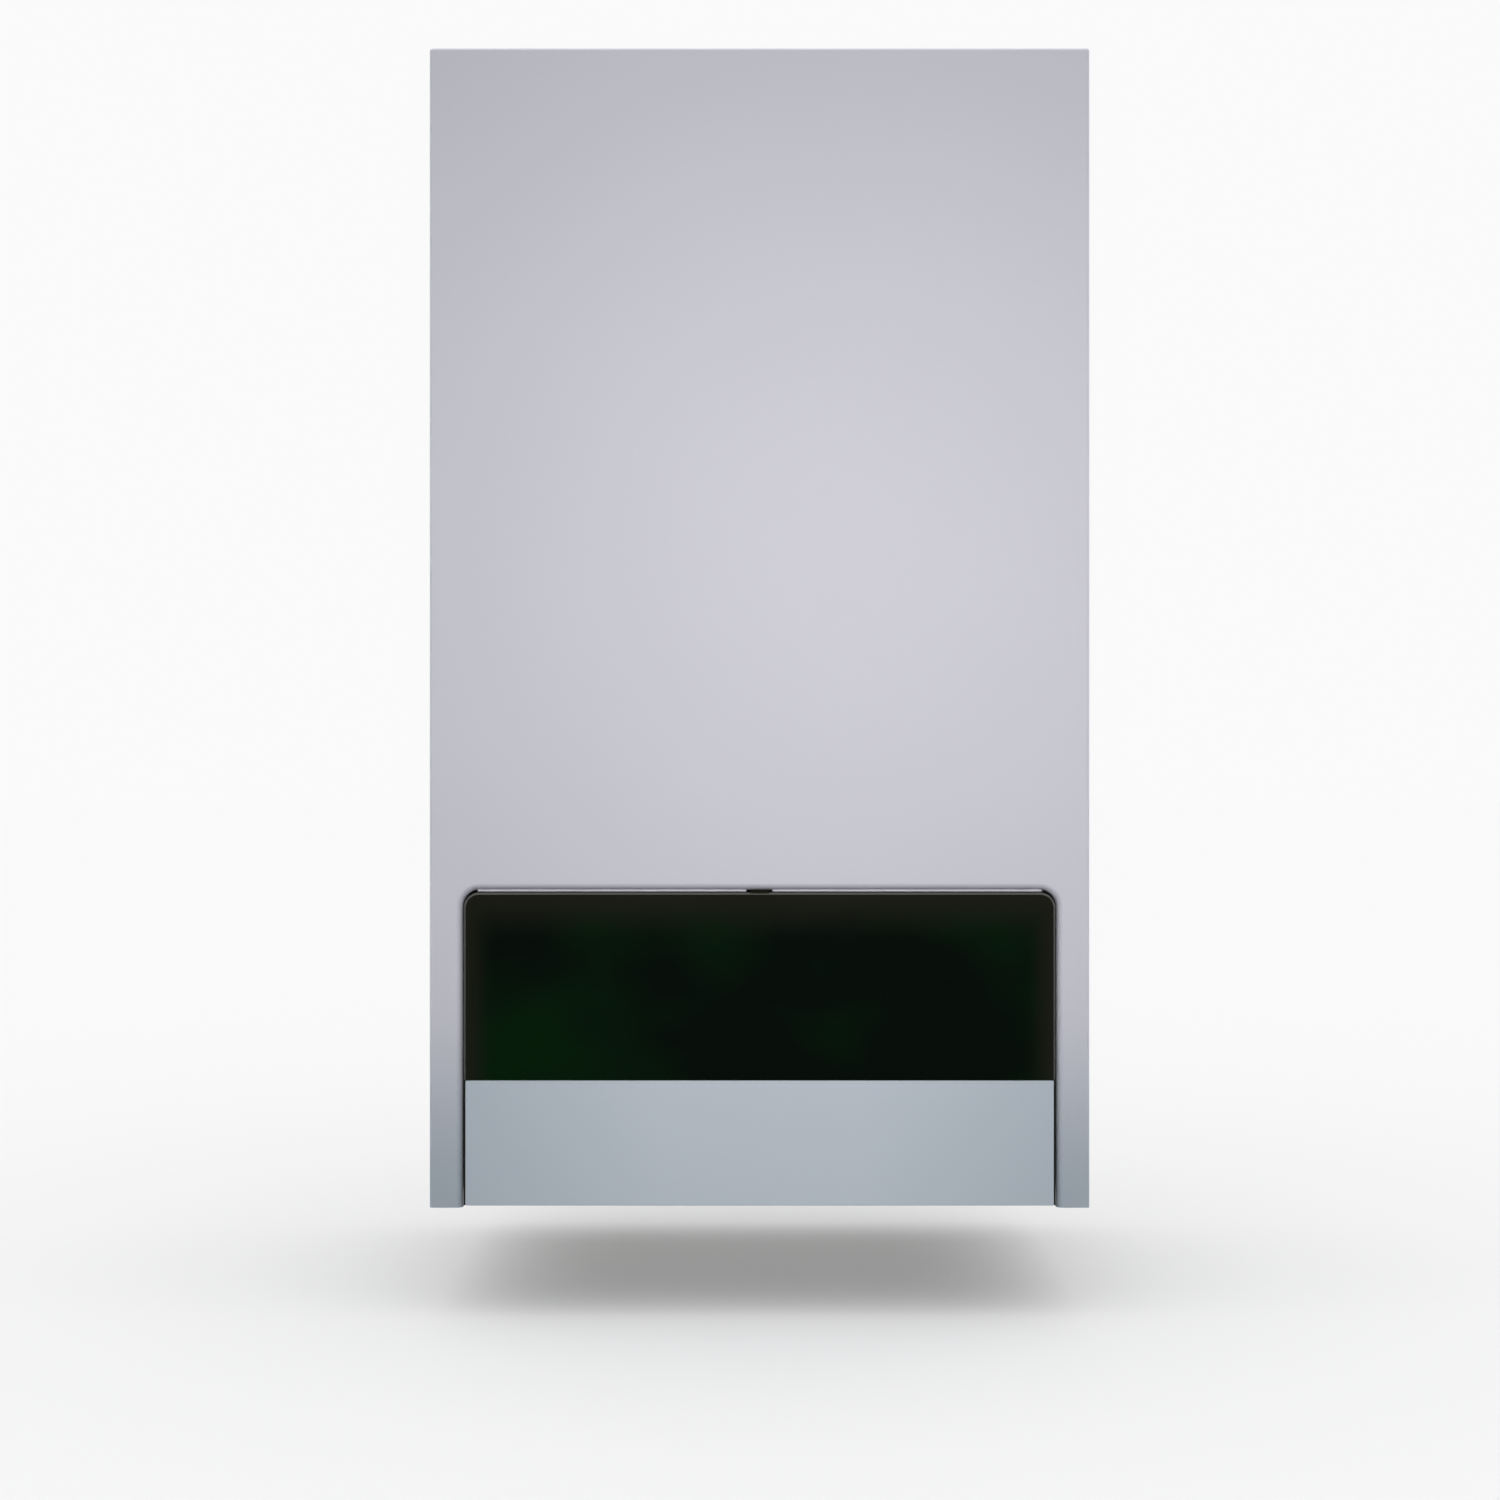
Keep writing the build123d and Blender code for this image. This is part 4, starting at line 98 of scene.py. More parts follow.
def fresh(name, **values):
    """A new material with a Principled shader, its plain numbers on the shader's own sockets."""
    material = bpy.data.materials.new(name)
    material.use_nodes = True
    tree = material.node_tree
    tree.nodes.clear()
    shader = add_node(tree, "ShaderNodeBsdfPrincipled", values)
    add_node(tree, "ShaderNodeOutputMaterial", {"Surface": shader.outputs[0]})
    place = add_node(tree, "ShaderNodeTexCoord").outputs["Object"]
    return material, tree, shader, place


def per_mm(size_mm):
    """Texture scale for a pattern whose repeat is that many millimetres."""
    return 1.0 / (size_mm * MM)


def dress(material, *nodes):
    """Gives CAD nodes a finish through their material slots; their meshes stay as they are."""
    for name in nodes:
        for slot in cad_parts[name].material_slots:
            slot.material = material


def tone(tree, factor, colour, spread):
    """A colour that a pattern makes darker and lighter: colour times (1 - spread) to (1 + spread)."""
    dark = tuple(c * (1 - spread) for c in colour[:3])
    light = tuple(min(1.0, c * (1 + spread)) for c in colour[:3])
    return add_node(tree, "ShaderNodeMix", {"Factor": factor, "A": dark, "B": light},
                    data_type="RGBA").outputs["Result"]


# ---------------------------------------------------------------- finishes
def foot_mask(height):
    """Painted shade on a casing: darker at its lower front, from a height down to its edge, less towards the
    wall.
    """
    def mask(tree, place):
        depth, rise = add_node(tree, "ShaderNodeSeparateXYZ", {"Vector": place}).outputs[1:]
        low = add_node(tree, "ShaderNodeMapRange", {"Value": rise, "From Min": height, "From Max": 0.0},
                       interpolation_type="SMOOTHSTEP")
        near = add_node(tree, "ShaderNodeMapRange", {
            "Value": depth, "From Min": -100 * MM, "From Max": -290 * MM, "To Min": 0.25},
            interpolation_type="SMOOTHSTEP")
        return add_node(tree, "ShaderNodeMath", {0: low.outputs[0], 1: near.outputs[0]},
                        operation="MULTIPLY").outputs[0]
    return mask


def end_mask(inner, outer):
    """Painted shade on a plate: darker towards its two ends, from one distance beside the middle to another.
    """
    def mask(tree, place):
        across = add_node(tree, "ShaderNodeSeparateXYZ", {"Vector": place}).outputs["X"]
        aside = add_node(tree, "ShaderNodeMath", {0: across}, operation="ABSOLUTE").outputs[0]
        return add_node(tree, "ShaderNodeMapRange", {"Value": aside, "From Min": inner, "From Max": outer}
                        ).outputs[0]
    return mask


def powder_coat(name, colour, roughness=0.42, shade_colour=None, mask=None):
    """Steel sheet with baked polyester powder: an even satin film whose surface has a faint orange peel.

    Where a mask says so, the paint takes its shade colour, a little darker and greyer: painted shade.
    """
    material, tree, shader, place = fresh(name, Roughness=roughness, **{"Specular IOR Level": 0.45})
    peel = add_node(tree, "ShaderNodeTexNoise", {"Vector": place, "Scale": per_mm(1.6), "Detail": 2.0})
    cloud = add_node(tree, "ShaderNodeTexNoise", {"Vector": place, "Scale": per_mm(140), "Detail": 3.0})
    bump = add_node(tree, "ShaderNodeBump", {"Height": peel.outputs["Fac"], "Strength": 0.12,
                                              "Distance": 0.05 * MM})
    paint = tone(tree, cloud.outputs["Fac"], colour, 0.018)
    # painted shade: the darker colour mixed in where the mask says
    if mask:
        paint = add_node(tree, "ShaderNodeMix", {"Factor": mask(tree, place), "A": paint, "B": shade_colour},
                         data_type="RGBA").outputs["Result"]
    tree.links.new(paint, shader.inputs["Base Color"])
    tree.links.new(bump.outputs[0], shader.inputs["Normal"])
    return material


def moulded(name, colour, roughness, grain_mm=0.6, grain_depth=0.02, specular=0.5, coat=0.0):
    """Injection-moulded plastic: one colour all through, with the fine spark-eroded grain of its mould."""
    material, tree, shader, place = fresh(name, Roughness=roughness, **{
        "Specular IOR Level": specular, "Coat Weight": coat, "Coat Roughness": 0.08})
    grain = add_node(tree, "ShaderNodeTexVoronoi", {"Vector": place, "Scale": per_mm(grain_mm)})
    flow = add_node(tree, "ShaderNodeTexNoise", {"Vector": place, "Scale": per_mm(45), "Detail": 2.0})
    bump = add_node(tree, "ShaderNodeBump", {"Height": grain.outputs["Distance"], "Strength": 0.25,
                                              "Distance": grain_depth * MM})
    tree.links.new(tone(tree, flow.outputs["Fac"], colour, 0.05), shader.inputs["Base Color"])
    tree.links.new(bump.outputs[0], shader.inputs["Normal"])
    return material


def tinted_acrylic(name, colour, low, high):
    """Cast acrylic dyed green-black: a deep face, cloudy green where the dye is thinner.

    The last 18 mm at the sides and 30 mm at the top are painted browner and lighter, a painted reflection
    along the edges, by a smooth minimum of the distances to the two. Only the bevel is flame-polished, so it
    alone carries the hard gloss that draws a bright line round the panel; its colour is painted lighter there
    too, a painted highlight.
    """
    material, tree, shader, place = fresh(name, **{"Specular IOR Level": 0.03, "IOR": 1.49,
                                                   "Coat Roughness": 0.12, "Coat IOR": 1.6})
    # wiped from side to side, so the haze lies in level streaks
    wipe = add_node(tree, "ShaderNodeMapping", {"Vector": place, "Scale": (1.0, 1.0, 3.0)})
    dust = add_node(tree, "ShaderNodeTexNoise", {"Vector": wipe.outputs[0], "Scale": per_mm(60),
                                                 "Detail": 5.0})
    haze = add_node(tree, "ShaderNodeMapRange", {"Value": dust.outputs["Fac"], "From Min": 0.35,
                                                 "From Max": 0.75, "To Min": 0.08, "To Max": 0.16})
    # moved and mirrored until the green patches lie where the photograph shows them
    drift = add_node(tree, "ShaderNodeMapping", {"Vector": place, "Location": (4.4, 0.0, 0.33),
                                                 "Scale": (-0.7, 1.0, 1.0)})
    dye = add_node(tree, "ShaderNodeTexNoise", {"Vector": drift.outputs[0], "Scale": per_mm(110),
                                                "Detail": 2.5})
    thin = add_node(tree, "ShaderNodeMapRange", {"Value": dye.outputs["Fac"], "From Min": 0.44,
                                                 "From Max": 0.62})
    body = add_node(tree, "ShaderNodeMix", {"Factor": thin.outputs[0], "A": colour, "B": linear("#011e04")},
                    data_type="RGBA").outputs["Result"]
    spot = add_node(tree, "ShaderNodeSeparateXYZ", {"Vector": place}).outputs
    centre, half = (low.x + high.x) / 2, (high.x - low.x) / 2
    top = high.z - CATCH
    across = add_node(tree, "ShaderNodeMath", {0: spot["X"], 1: -centre}, operation="ADD").outputs[0]
    across = add_node(tree, "ShaderNodeMath", {0: across}, operation="ABSOLUTE").outputs[0]
    aside = add_node(tree, "ShaderNodeMath", {0: half, 1: across}, operation="SUBTRACT").outputs[0]
    above = add_node(tree, "ShaderNodeMath", {0: top, 1: spot["Z"]}, operation="SUBTRACT").outputs[0]
    above = add_node(tree, "ShaderNodeMath", {0: above, 1: 0.6}, operation="MULTIPLY").outputs[0]
    inside = add_node(tree, "ShaderNodeMath", {0: aside, 1: above, 2: 12 * MM},
                      operation="SMOOTH_MIN").outputs[0]
    # painted reflection: the sheet lighter and browner within 18 mm of its sides and 30 mm of its top
    glow = add_node(tree, "ShaderNodeMapRange", {
        "Value": inside, "From Min": 1 * MM, "From Max": 18 * MM, "To Min": 1.0, "To Max": 0.0},
        interpolation_type="SMOOTHSTEP")
    lit = add_node(tree, "ShaderNodeMix", {"Factor": glow.outputs[0], "A": body, "B": linear("#1b1d14")},
                   data_type="RGBA").outputs["Result"]
    facing = add_node(tree, "ShaderNodeSeparateXYZ", {
        "Vector": add_node(tree, "ShaderNodeTexCoord").outputs["Normal"]}).outputs
    flat = add_node(tree, "ShaderNodeMath", {0: facing["Y"]}, operation="ABSOLUTE").outputs[0]
    bevel = add_node(tree, "ShaderNodeMapRange", {"Value": flat, "From Min": 0.98, "From Max": 0.9})
    # painted highlight: the bevel's colour is lighter than the face's; its coat gloss is real
    bevel_highlight_paint = add_node(tree, "ShaderNodeMix", {"Factor": bevel.outputs[0], "A": lit, "B": linear("#34352d")},
                       data_type="RGBA").outputs["Result"]
    tree.links.new(bevel.outputs[0], shader.inputs["Coat Weight"])
    tree.links.new(bevel_highlight_paint, shader.inputs["Base Color"])
    tree.links.new(haze.outputs[0], shader.inputs["Roughness"])
    return material


def galvanised_sheet(name, colour):
    """Hot-dip galvanised steel: grey zinc in flat crystals, the spangle, each a little lighter or duller."""
    material, tree, shader, place = fresh(name, Metallic=0.9)
    crystal = add_node(tree, "ShaderNodeTexVoronoi", {"Vector": place, "Scale": per_mm(9),
                                                      "Randomness": 1.0})
    rolled = add_node(tree, "ShaderNodeTexNoise", {"Vector": place, "Scale": per_mm(1.2), "Detail": 3.0})
    grey = add_node(tree, "ShaderNodeSeparateColor", {"Color": crystal.outputs["Color"]})
    rough = add_node(tree, "ShaderNodeMapRange", {"Value": grey.outputs["Green"], "To Min": 0.34,
                                                  "To Max": 0.52})
    bump = add_node(tree, "ShaderNodeBump", {"Height": rolled.outputs["Fac"], "Strength": 0.15,
                                              "Distance": 0.03 * MM})
    tree.links.new(tone(tree, grey.outputs["Red"], colour, 0.09), shader.inputs["Base Color"])
    tree.links.new(rough.outputs[0], shader.inputs["Roughness"])
    tree.links.new(bump.outputs[0], shader.inputs["Normal"])
    return material


def drawn_metal(name, colour, roughness, along=(1.0, 1.0, 0.06), line_mm=0.5, spread=0.1):
    """Rolled, drawn or turned metal: fine lines left by the tool, which stretch the light across them."""
    material, tree, shader, place = fresh(name, Metallic=1.0)
    stretch = add_node(tree, "ShaderNodeMapping", {"Vector": place, "Scale": along})
    lines = add_node(tree, "ShaderNodeTexNoise", {"Vector": stretch.outputs[0], "Scale": per_mm(line_mm),
                                                  "Detail": 3.0})
    cloud = add_node(tree, "ShaderNodeTexNoise", {"Vector": place, "Scale": per_mm(30), "Detail": 4.0})
    rough = add_node(tree, "ShaderNodeMapRange", {"Value": lines.outputs["Fac"], "To Min": roughness - 0.08,
                                                  "To Max": roughness + 0.1})
    bump = add_node(tree, "ShaderNodeBump", {"Height": lines.outputs["Fac"], "Strength": 0.2,
                                              "Distance": 0.02 * MM})
    tree.links.new(tone(tree, cloud.outputs["Fac"], colour, spread), shader.inputs["Base Color"])
    tree.links.new(rough.outputs[0], shader.inputs["Roughness"])
    tree.links.new(bump.outputs[0], shader.inputs["Normal"])
    return material


def cast_metal(name, colour, roughness, metallic=1.0, grit_mm=0.9, depth=0.06):
    """Metal cast in sand or a die: a dull skin, pitted at the size of the mould's grit."""
    material, tree, shader, place = fresh(name, Metallic=metallic, Roughness=roughness)
    grit = add_node(tree, "ShaderNodeTexNoise", {"Vector": place, "Scale": per_mm(grit_mm), "Detail": 4.0})
    stain = add_node(tree, "ShaderNodeTexNoise", {"Vector": place, "Scale": per_mm(25), "Detail": 3.0})
    bump = add_node(tree, "ShaderNodeBump", {"Height": grit.outputs["Fac"], "Strength": 0.35,
                                              "Distance": depth * MM})
    tree.links.new(tone(tree, stain.outputs["Fac"], colour, 0.09), shader.inputs["Base Color"])
    tree.links.new(bump.outputs[0], shader.inputs["Normal"])
    return material


def vulcanised_rubber(name, colour):
    """Cured rubber: nearly matt, with the bloom that rises to its surface as it ages."""
    material, tree, shader, place = fresh(name, Roughness=0.75, **{"Specular IOR Level": 0.3})
    bloom = add_node(tree, "ShaderNodeTexNoise", {"Vector": place, "Scale": per_mm(12), "Detail": 5.0})
    bump = add_node(tree, "ShaderNodeBump", {"Height": bloom.outputs["Fac"], "Strength": 0.2,
                                              "Distance": 0.05 * MM})
    tree.links.new(tone(tree, bloom.outputs["Fac"], colour, 0.2), shader.inputs["Base Color"])
    tree.links.new(bump.outputs[0], shader.inputs["Normal"])
    return material


def pressed_fibre(name, colour):
    """Vacuum-formed ceramic fibre board: soft, chalky and flocked."""
    material, tree, shader, place = fresh(name, Roughness=0.95, **{"Specular IOR Level": 0.1})
    strand = add_node(tree, "ShaderNodeMapping", {"Vector": place, "Scale": (1.0, 0.35, 1.0)})
    flock = add_node(tree, "ShaderNodeTexNoise", {"Vector": strand.outputs[0], "Scale": per_mm(1.5),
                                                  "Detail": 5.0})
    bump = add_node(tree, "ShaderNodeBump", {"Height": flock.outputs["Fac"], "Strength": 0.6,
                                              "Distance": 0.3 * MM})
    tree.links.new(tone(tree, flock.outputs["Fac"], colour, 0.08), shader.inputs["Base Color"])
    tree.links.new(bump.outputs[0], shader.inputs["Normal"])
    return material


def circuit_laminate(name, colour):
    """Glass-epoxy board under green solder mask: darker where the copper tracks run beneath it."""
    material, tree, shader, place = fresh(name, Roughness=0.32)
    tracks = add_node(tree, "ShaderNodeTexBrick", {
        "Vector": add_node(tree, "ShaderNodeMapping", {
            "Vector": place, "Rotation": (math.pi / 2, 0.0, 0.0)}).outputs[0],
        "Scale": per_mm(7), "Mortar Size": 0.09, "Color1": colour, "Color2": tuple(c * 0.8 for c in colour),
        "Mortar": tuple(min(1.0, c * 1.7) for c in colour)})
    bump = add_node(tree, "ShaderNodeBump", {"Height": tracks.outputs["Fac"], "Strength": 0.4,
                                              "Distance": 0.05 * MM})
    tree.links.new(tracks.outputs["Color"], shader.inputs["Base Color"])
    tree.links.new(bump.outputs[0], shader.inputs["Normal"])
    return material


def glazed_ceramic(name, colour):
    """Fired alumina with a clear glaze: white, hard and wet-looking, with a few specks in the body."""
    material, tree, shader, place = fresh(name, Roughness=0.18)
    speck = add_node(tree, "ShaderNodeTexNoise", {"Vector": place, "Scale": per_mm(2.5), "Detail": 4.0})
    tree.links.new(tone(tree, speck.outputs["Fac"], colour, 0.05), shader.inputs["Base Color"])
    return material


def clear_pane(name, colour, clear=0.85, gloss=0.5):
    """Pane of glass or cast plastic: clear, with a slight cast and a surface that is very slightly wavy."""
    material, tree, shader, place = fresh(name, Roughness=0.03, IOR=1.52, **{"Transmission Weight": clear,
                                                                             "Specular IOR Level": gloss})
    wave = add_node(tree, "ShaderNodeTexNoise", {"Vector": place, "Scale": per_mm(20), "Detail": 1.0})
    bump = add_node(tree, "ShaderNodeBump", {"Height": wave.outputs["Fac"], "Strength": 0.1,
                                              "Distance": 0.1 * MM})
    tree.links.new(tone(tree, wave.outputs["Fac"], colour, 0.03), shader.inputs["Base Color"])
    tree.links.new(bump.outputs[0], shader.inputs["Normal"])
    return material


def screen_ink(name, colour):
    """Screen-printed ink: a thin matt layer, slightly uneven where the mesh let more of it through."""
    material, tree, shader, place = fresh(name, Roughness=0.6, **{"Specular IOR Level": 0.35})
    mesh = add_node(tree, "ShaderNodeTexNoise", {"Vector": place, "Scale": per_mm(0.8), "Detail": 2.0})
    tree.links.new(tone(tree, mesh.outputs["Fac"], colour, 0.06), shader.inputs["Base Color"])
    return material


# ---------------------------------------------------------------- surfaces
def riding(name, mesh, material, body):
    """Puts a mesh into the scene as a piece of one finish that rides on a body."""
    mesh.materials.clear()
    mesh.materials.append(material)
    piece = bpy.data.objects.new(name, mesh)
    bpy.context.scene.collection.objects.link(piece)
    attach(piece, body)
    return piece


def skin(name, grid, material, body, wrap_rows=False):
    """Joins a grid of points, rows by columns by xyz, into one closed mesh that rides on a body.

    Each cell of the grid is a face. The last column joins the first. The last row joins the first too where
    rows wrap, and otherwise a flat cap closes the first and last rows. Signed volume: a sixth of the sum of
    a . (b x c) over the triangles; where it is negative, all faces are turned.
    """
    rows, columns = grid.shape[:2]
    index = np.arange(rows * columns).reshape(rows, columns)
    index = np.concatenate((index, index[:, :1]), axis=1)
    if wrap_rows:
        index = np.concatenate((index, index[:1]), axis=0)
    quads = np.stack((index[:-1, :-1], index[1:, :-1], index[1:, 1:], index[:-1, 1:]), axis=-1).reshape(-1, 4)
    ends = [] if wrap_rows else [index[0, :columns], index[-1, :columns][::-1]]
    fans = [np.stack((np.full(columns - 2, end[0]), end[1:-1], end[2:]), axis=1) for end in ends]
    points = grid.reshape(-1, 3)
    a, b, c = points[np.concatenate((quads[:, :3], quads[:, [0, 2, 3]], *fans))].transpose(1, 0, 2)
    faces = quads.tolist() + [end.tolist() for end in ends]
    if np.einsum("ij,ij->", a, np.cross(b, c)) < 0:
        faces = [face[::-1] for face in faces]
    mesh = bpy.data.meshes.new(name)
    mesh.from_pydata(points.tolist(), [], faces)
    mesh.shade_smooth()
    mesh.set_sharp_from_angle(angle=math.radians(CREASE_DEGREES))
    return riding(name, mesh, material, body)


def turned(centre, axis, profile, segments=48):
    """Surface of revolution: a profile of (radius, height) pairs carried round an axis through a centre.

    A point is centre + height times the axis + radius times (cos t, sin t) in the plane across it.
    """
    axis = np.array(axis, float)
    side = np.array((1.0, 0.0, 0.0)) if abs(axis[0]) < 0.5 else np.array((0.0, 1.0, 0.0))
    across = np.cross(axis, side)
    turn = np.linspace(0, 2 * math.pi, segments, endpoint=False)
    ring = np.cos(turn)[:, None] * side + np.sin(turn)[:, None] * across
    radius, height = np.array(profile, float).T
    return np.array(centre, float) + height[:, None, None] * axis + radius[:, None, None] * ring[None]


def stroke(path, width, face_y, rise, closed=False):
    """A flat printed line: a low trapezium carried along a path of (x, z) points on a front-facing plane.

    Across the path a point is offset by its share of half the width along the path's normal, and forwards
    by its profile's height. The width is one number, or one for each point.
    """
    path = np.array(path, float)
    if closed:
        along = np.roll(path, -1, axis=0) - np.roll(path, 1, axis=0)
    else:
        along = np.gradient(path, axis=0)
    along /= np.linalg.norm(along, axis=1)[:, None]
    normal = np.stack((-along[:, 1], along[:, 0]), axis=1)
    half = np.broadcast_to(np.asarray(width) / 2, len(path))
    profile = np.array(((-1.0, 0.0), (-0.85, rise), (0.85, rise), (1.0, 0.0)))
    flat = path[:, None, :] + profile[None, :, :1] * half[:, None, None] * normal[:, None, :]
    depth = np.broadcast_to(face_y - profile[None, :, 1], flat.shape[:2])
    return np.stack((flat[..., 0], depth, flat[..., 1]), axis=-1)


def superellipse(half_wide, half_tall, power, count):
    """Points of a rounded rectangle: (a sgn(cos t) |cos t|^p, b sgn(sin t) |sin t|^p), for t all round."""
    t = np.linspace(0, 2 * math.pi, count, endpoint=False)
    return np.stack((half_wide * np.sign(np.cos(t)) * np.abs(np.cos(t)) ** power,
                     half_tall * np.sign(np.sin(t)) * np.abs(np.sin(t)) ** power), axis=1)


def pillow(centre, half, edge, steps=16):
    """A box with rounded edges: a superquadric whose powers are small.

    x = a * sgn(cos v) |cos v|^e * sgn(cos u) |cos u|^e, z alike with sin u, and y = b * sgn(sin v) |sin v|^e,
    for u round it and v from pole to pole.
    """
    around = np.linspace(-math.pi, math.pi, 4 * steps, endpoint=False)
    rise = np.linspace(-math.pi / 2 + 0.02, math.pi / 2 - 0.02, 2 * steps)
    v, u = np.meshgrid(rise, around, indexing="ij")

    def power(value):
        return np.sign(value) * np.abs(value) ** edge

    return np.stack((centre[0] + half[0] * power(np.cos(v)) * power(np.cos(u)),
                     centre[1] + half[1] * power(np.sin(v)),
                     centre[2] + half[2] * power(np.cos(v)) * power(np.sin(u))), axis=-1)


def hexagon(angle, flats):
    """Radius of a hexagon: its half width across flats over the cosine of the angle to the nearest flat."""
    nearest = (angle + math.pi / 6) % (math.pi / 3) - math.pi / 6
    return flats / np.cos(nearest)


def union_nut(centre, flats, low, high, bore, turn=0.0, columns=48):
    """A hexagon nut round a vertical pipe: a cone cuts its corners at both ends, and its bore is plain.

    A point is centre + radius(angle) times (cos a, sin a, 0), on rows that go round the nut's section.
    """
    angle = np.linspace(0, 2 * math.pi, columns, endpoint=False)
    six = hexagon(angle + turn, flats)
    face = np.minimum(six, flats * 1.03)
    cone, hole = 0.9 * MM, np.full(columns, bore)
    rows = ((hole, low), (face, low), (six, low + cone), (six, high - cone), (face, high), (hole, high))
    return np.stack([np.stack((centre[0] + radius * np.cos(angle), centre[1] + radius * np.sin(angle),
                               np.full(columns, height)), axis=-1) for radius, height in rows])


def flame(x, z, size):
    """Closed outline of a flame: x = size * sin t * sin(t/2)^1.2, z = 1.4 * size * cos t, for t all round."""
    t = np.linspace(0, 2 * math.pi, 32, endpoint=False)
    return np.stack((x + size * np.sin(t) * np.sin(t / 2) ** 1.2, z + 1.4 * size * np.cos(t)), axis=1)


def arc(centre, radius, start, stop, count):
    """Points on a circle: centre + radius times (sin a, cos a), with a in degrees clockwise from the top."""
    angle = np.radians(np.linspace(start, stop, count))
    return np.stack((centre[0] + radius * np.sin(angle), centre[1] + radius * np.cos(angle)), axis=1)


def ray(centre, inner, outer, degrees):
    """Two points on a line from the centre, in the direction that many degrees clockwise from the top."""
    a = math.radians(degrees)
    aim = np.array((math.sin(a), math.cos(a)))
    return np.array(centre) + np.outer((inner, outer), aim)


def middle(low, high):
    """The (x, z) in the middle of a box, as seen from the front."""
    return (low.x + high.x) / 2, (low.z + high.z) / 2


def fascia_face():
    """The y of the fascia's flat face, behind its rim."""
    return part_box("control_fascia")[0].y + RIM_DEPTH


def joined(name, pieces):
    """Makes several small pieces of one finish and body into one object."""
    with bpy.context.temp_override(active_object=pieces[0], selected_editable_objects=pieces):
        bpy.ops.object.join()
    pieces[0].name = name
    return pieces[0]


def lettering(name, text, x, z, face_y, height, material, body):
    """Printed figures on a front-facing plane, centred on (x, z), as thick as the ink and as tall as asked.

    They are made flat and then set upright: a point (u, v, w) goes to (x + u, face - rise / 2 - w, z + v).
    """
    rise = bpy.context.scene.boiler_sizes.print_rise
    curve = bpy.data.curves.new(name, "FONT")
    curve.body, curve.size, curve.extrude = text, height / CAP_HEIGHT, rise / 2
    curve.align_x, curve.align_y = "CENTER", "CENTER"
    curve.resolution_u = 3
    source = bpy.data.objects.new(name, curve)
    bpy.context.scene.collection.objects.link(source)
    bpy.context.view_layer.update()
    mesh = bpy.data.meshes.new_from_object(source.evaluated_get(bpy.context.evaluated_depsgraph_get()))
    bpy.data.objects.remove(source)
    flat = np.empty(len(mesh.vertices) * 3)
    mesh.vertices.foreach_get("co", flat)
    flat = flat.reshape(-1, 3)
    placed = np.stack((x + flat[:, 0], face_y - rise / 2 - flat[:, 2], z + flat[:, 1]), axis=1)
    mesh.vertices.foreach_set("co", placed.ravel())
    solid = bmesh.new()
    solid.from_mesh(mesh)
    bmesh.ops.remove_doubles(solid, verts=solid.verts, dist=0.001 * MM)
    bmesh.ops.recalc_face_normals(solid, faces=solid.faces)
    solid.to_mesh(mesh)
    solid.free()
    return riding(name, mesh, material, body)


# ---------------------------------------------------------------- what a user may change
class BoilerColours(bpy.types.PropertyGroup):
    casing: bpy.props.FloatVectorProperty(
        name="Casing", description="Powder coat of the casing", subtype="COLOR", size=3,
        default=linear("#d0d0d9"), min=0, max=1)
    # Painted shade: the casing's colour towards its lower end, darker and greyer.
    foot: bpy.props.FloatVectorProperty(
        name="Casing foot", description="Powder coat at the casing's lower end", subtype="COLOR", size=3,
        default=linear("#a9b3bc"), min=0, max=1)
    plate: bpy.props.FloatVectorProperty(
        name="Lower plate", description="Light plate at the flap's foot", subtype="COLOR", size=3,
        default=linear("#c7d0d9"), min=0, max=1)
    # Painted shade: the lower plate's colour towards its two ends, darker than its middle.
    plate_ends: bpy.props.FloatVectorProperty(
        name="Lower plate ends", description="Lower plate where hands grip it", subtype="COLOR", size=3,
        default=linear("#b9c3cc"), min=0, max=1)
    panel: bpy.props.FloatVectorProperty(
        name="Tinted panel", description="Dark acrylic of the flap", subtype="COLOR", size=3,
        default=linear("#010c05"), min=0, max=1)
    fascia: bpy.props.FloatVectorProperty(
        name="Fascia", description="Light plastic behind the flap", subtype="COLOR", size=3,
        default=linear("#c3c5cb"), min=0, max=1)
    housing: bpy.props.FloatVectorProperty(
        name="Control box", description="Dark plastic of the control box", subtype="COLOR", size=3,
        default=linear("#2c2e31"), min=0, max=1)
    vessel: bpy.props.FloatVectorProperty(
        name="Expansion vessel", description="Red enamel of the expansion vessel", subtype="COLOR", size=3,
        default=linear("#a5271f"), min=0, max=1)


class BoilerSizes(bpy.types.PropertyGroup):
    print_rise: bpy.props.FloatProperty(
        name="Print thickness", description="How far printed marks stand off their face", unit="LENGTH",
        default=0.12 * MM, min=0.02 * MM, max=0.4 * MM, precision=5)
    thread_pitch: bpy.props.FloatProperty(
        name="Thread pitch", description="Pitch of the pipe tails' threads", unit="LENGTH",
        default=1.814 * MM, min=1 * MM, max=3 * MM, precision=5)
    floor_drop: bpy.props.FloatProperty(
        name="Floor drop", description="Floor below the casing's bottom edge", unit="LENGTH",
        default=0.066, min=0.02, max=1.0)
    camera_distance: bpy.props.FloatProperty(
        name="Camera distance", description="From the camera to the casing's front", unit="LENGTH",
        default=1.5, min=0.5, max=6.0)
    view_width: bpy.props.FloatProperty(
        name="View width", description="Width that the picture takes in at the casing's front", unit="LENGTH",
        default=0.909, min=0.3, max=3.0)
    camera_height: bpy.props.FloatProperty(
        name="Camera height", description="Camera above the casing's bottom edge", unit="LENGTH",
        default=277.4 * MM, min=0.0, max=2.0)
    camera_side: bpy.props.FloatProperty(
        name="Camera side", description="Camera to the right of the casing's middle", unit="LENGTH",
        default=-5.8 * MM, min=-1.0, max=1.0)


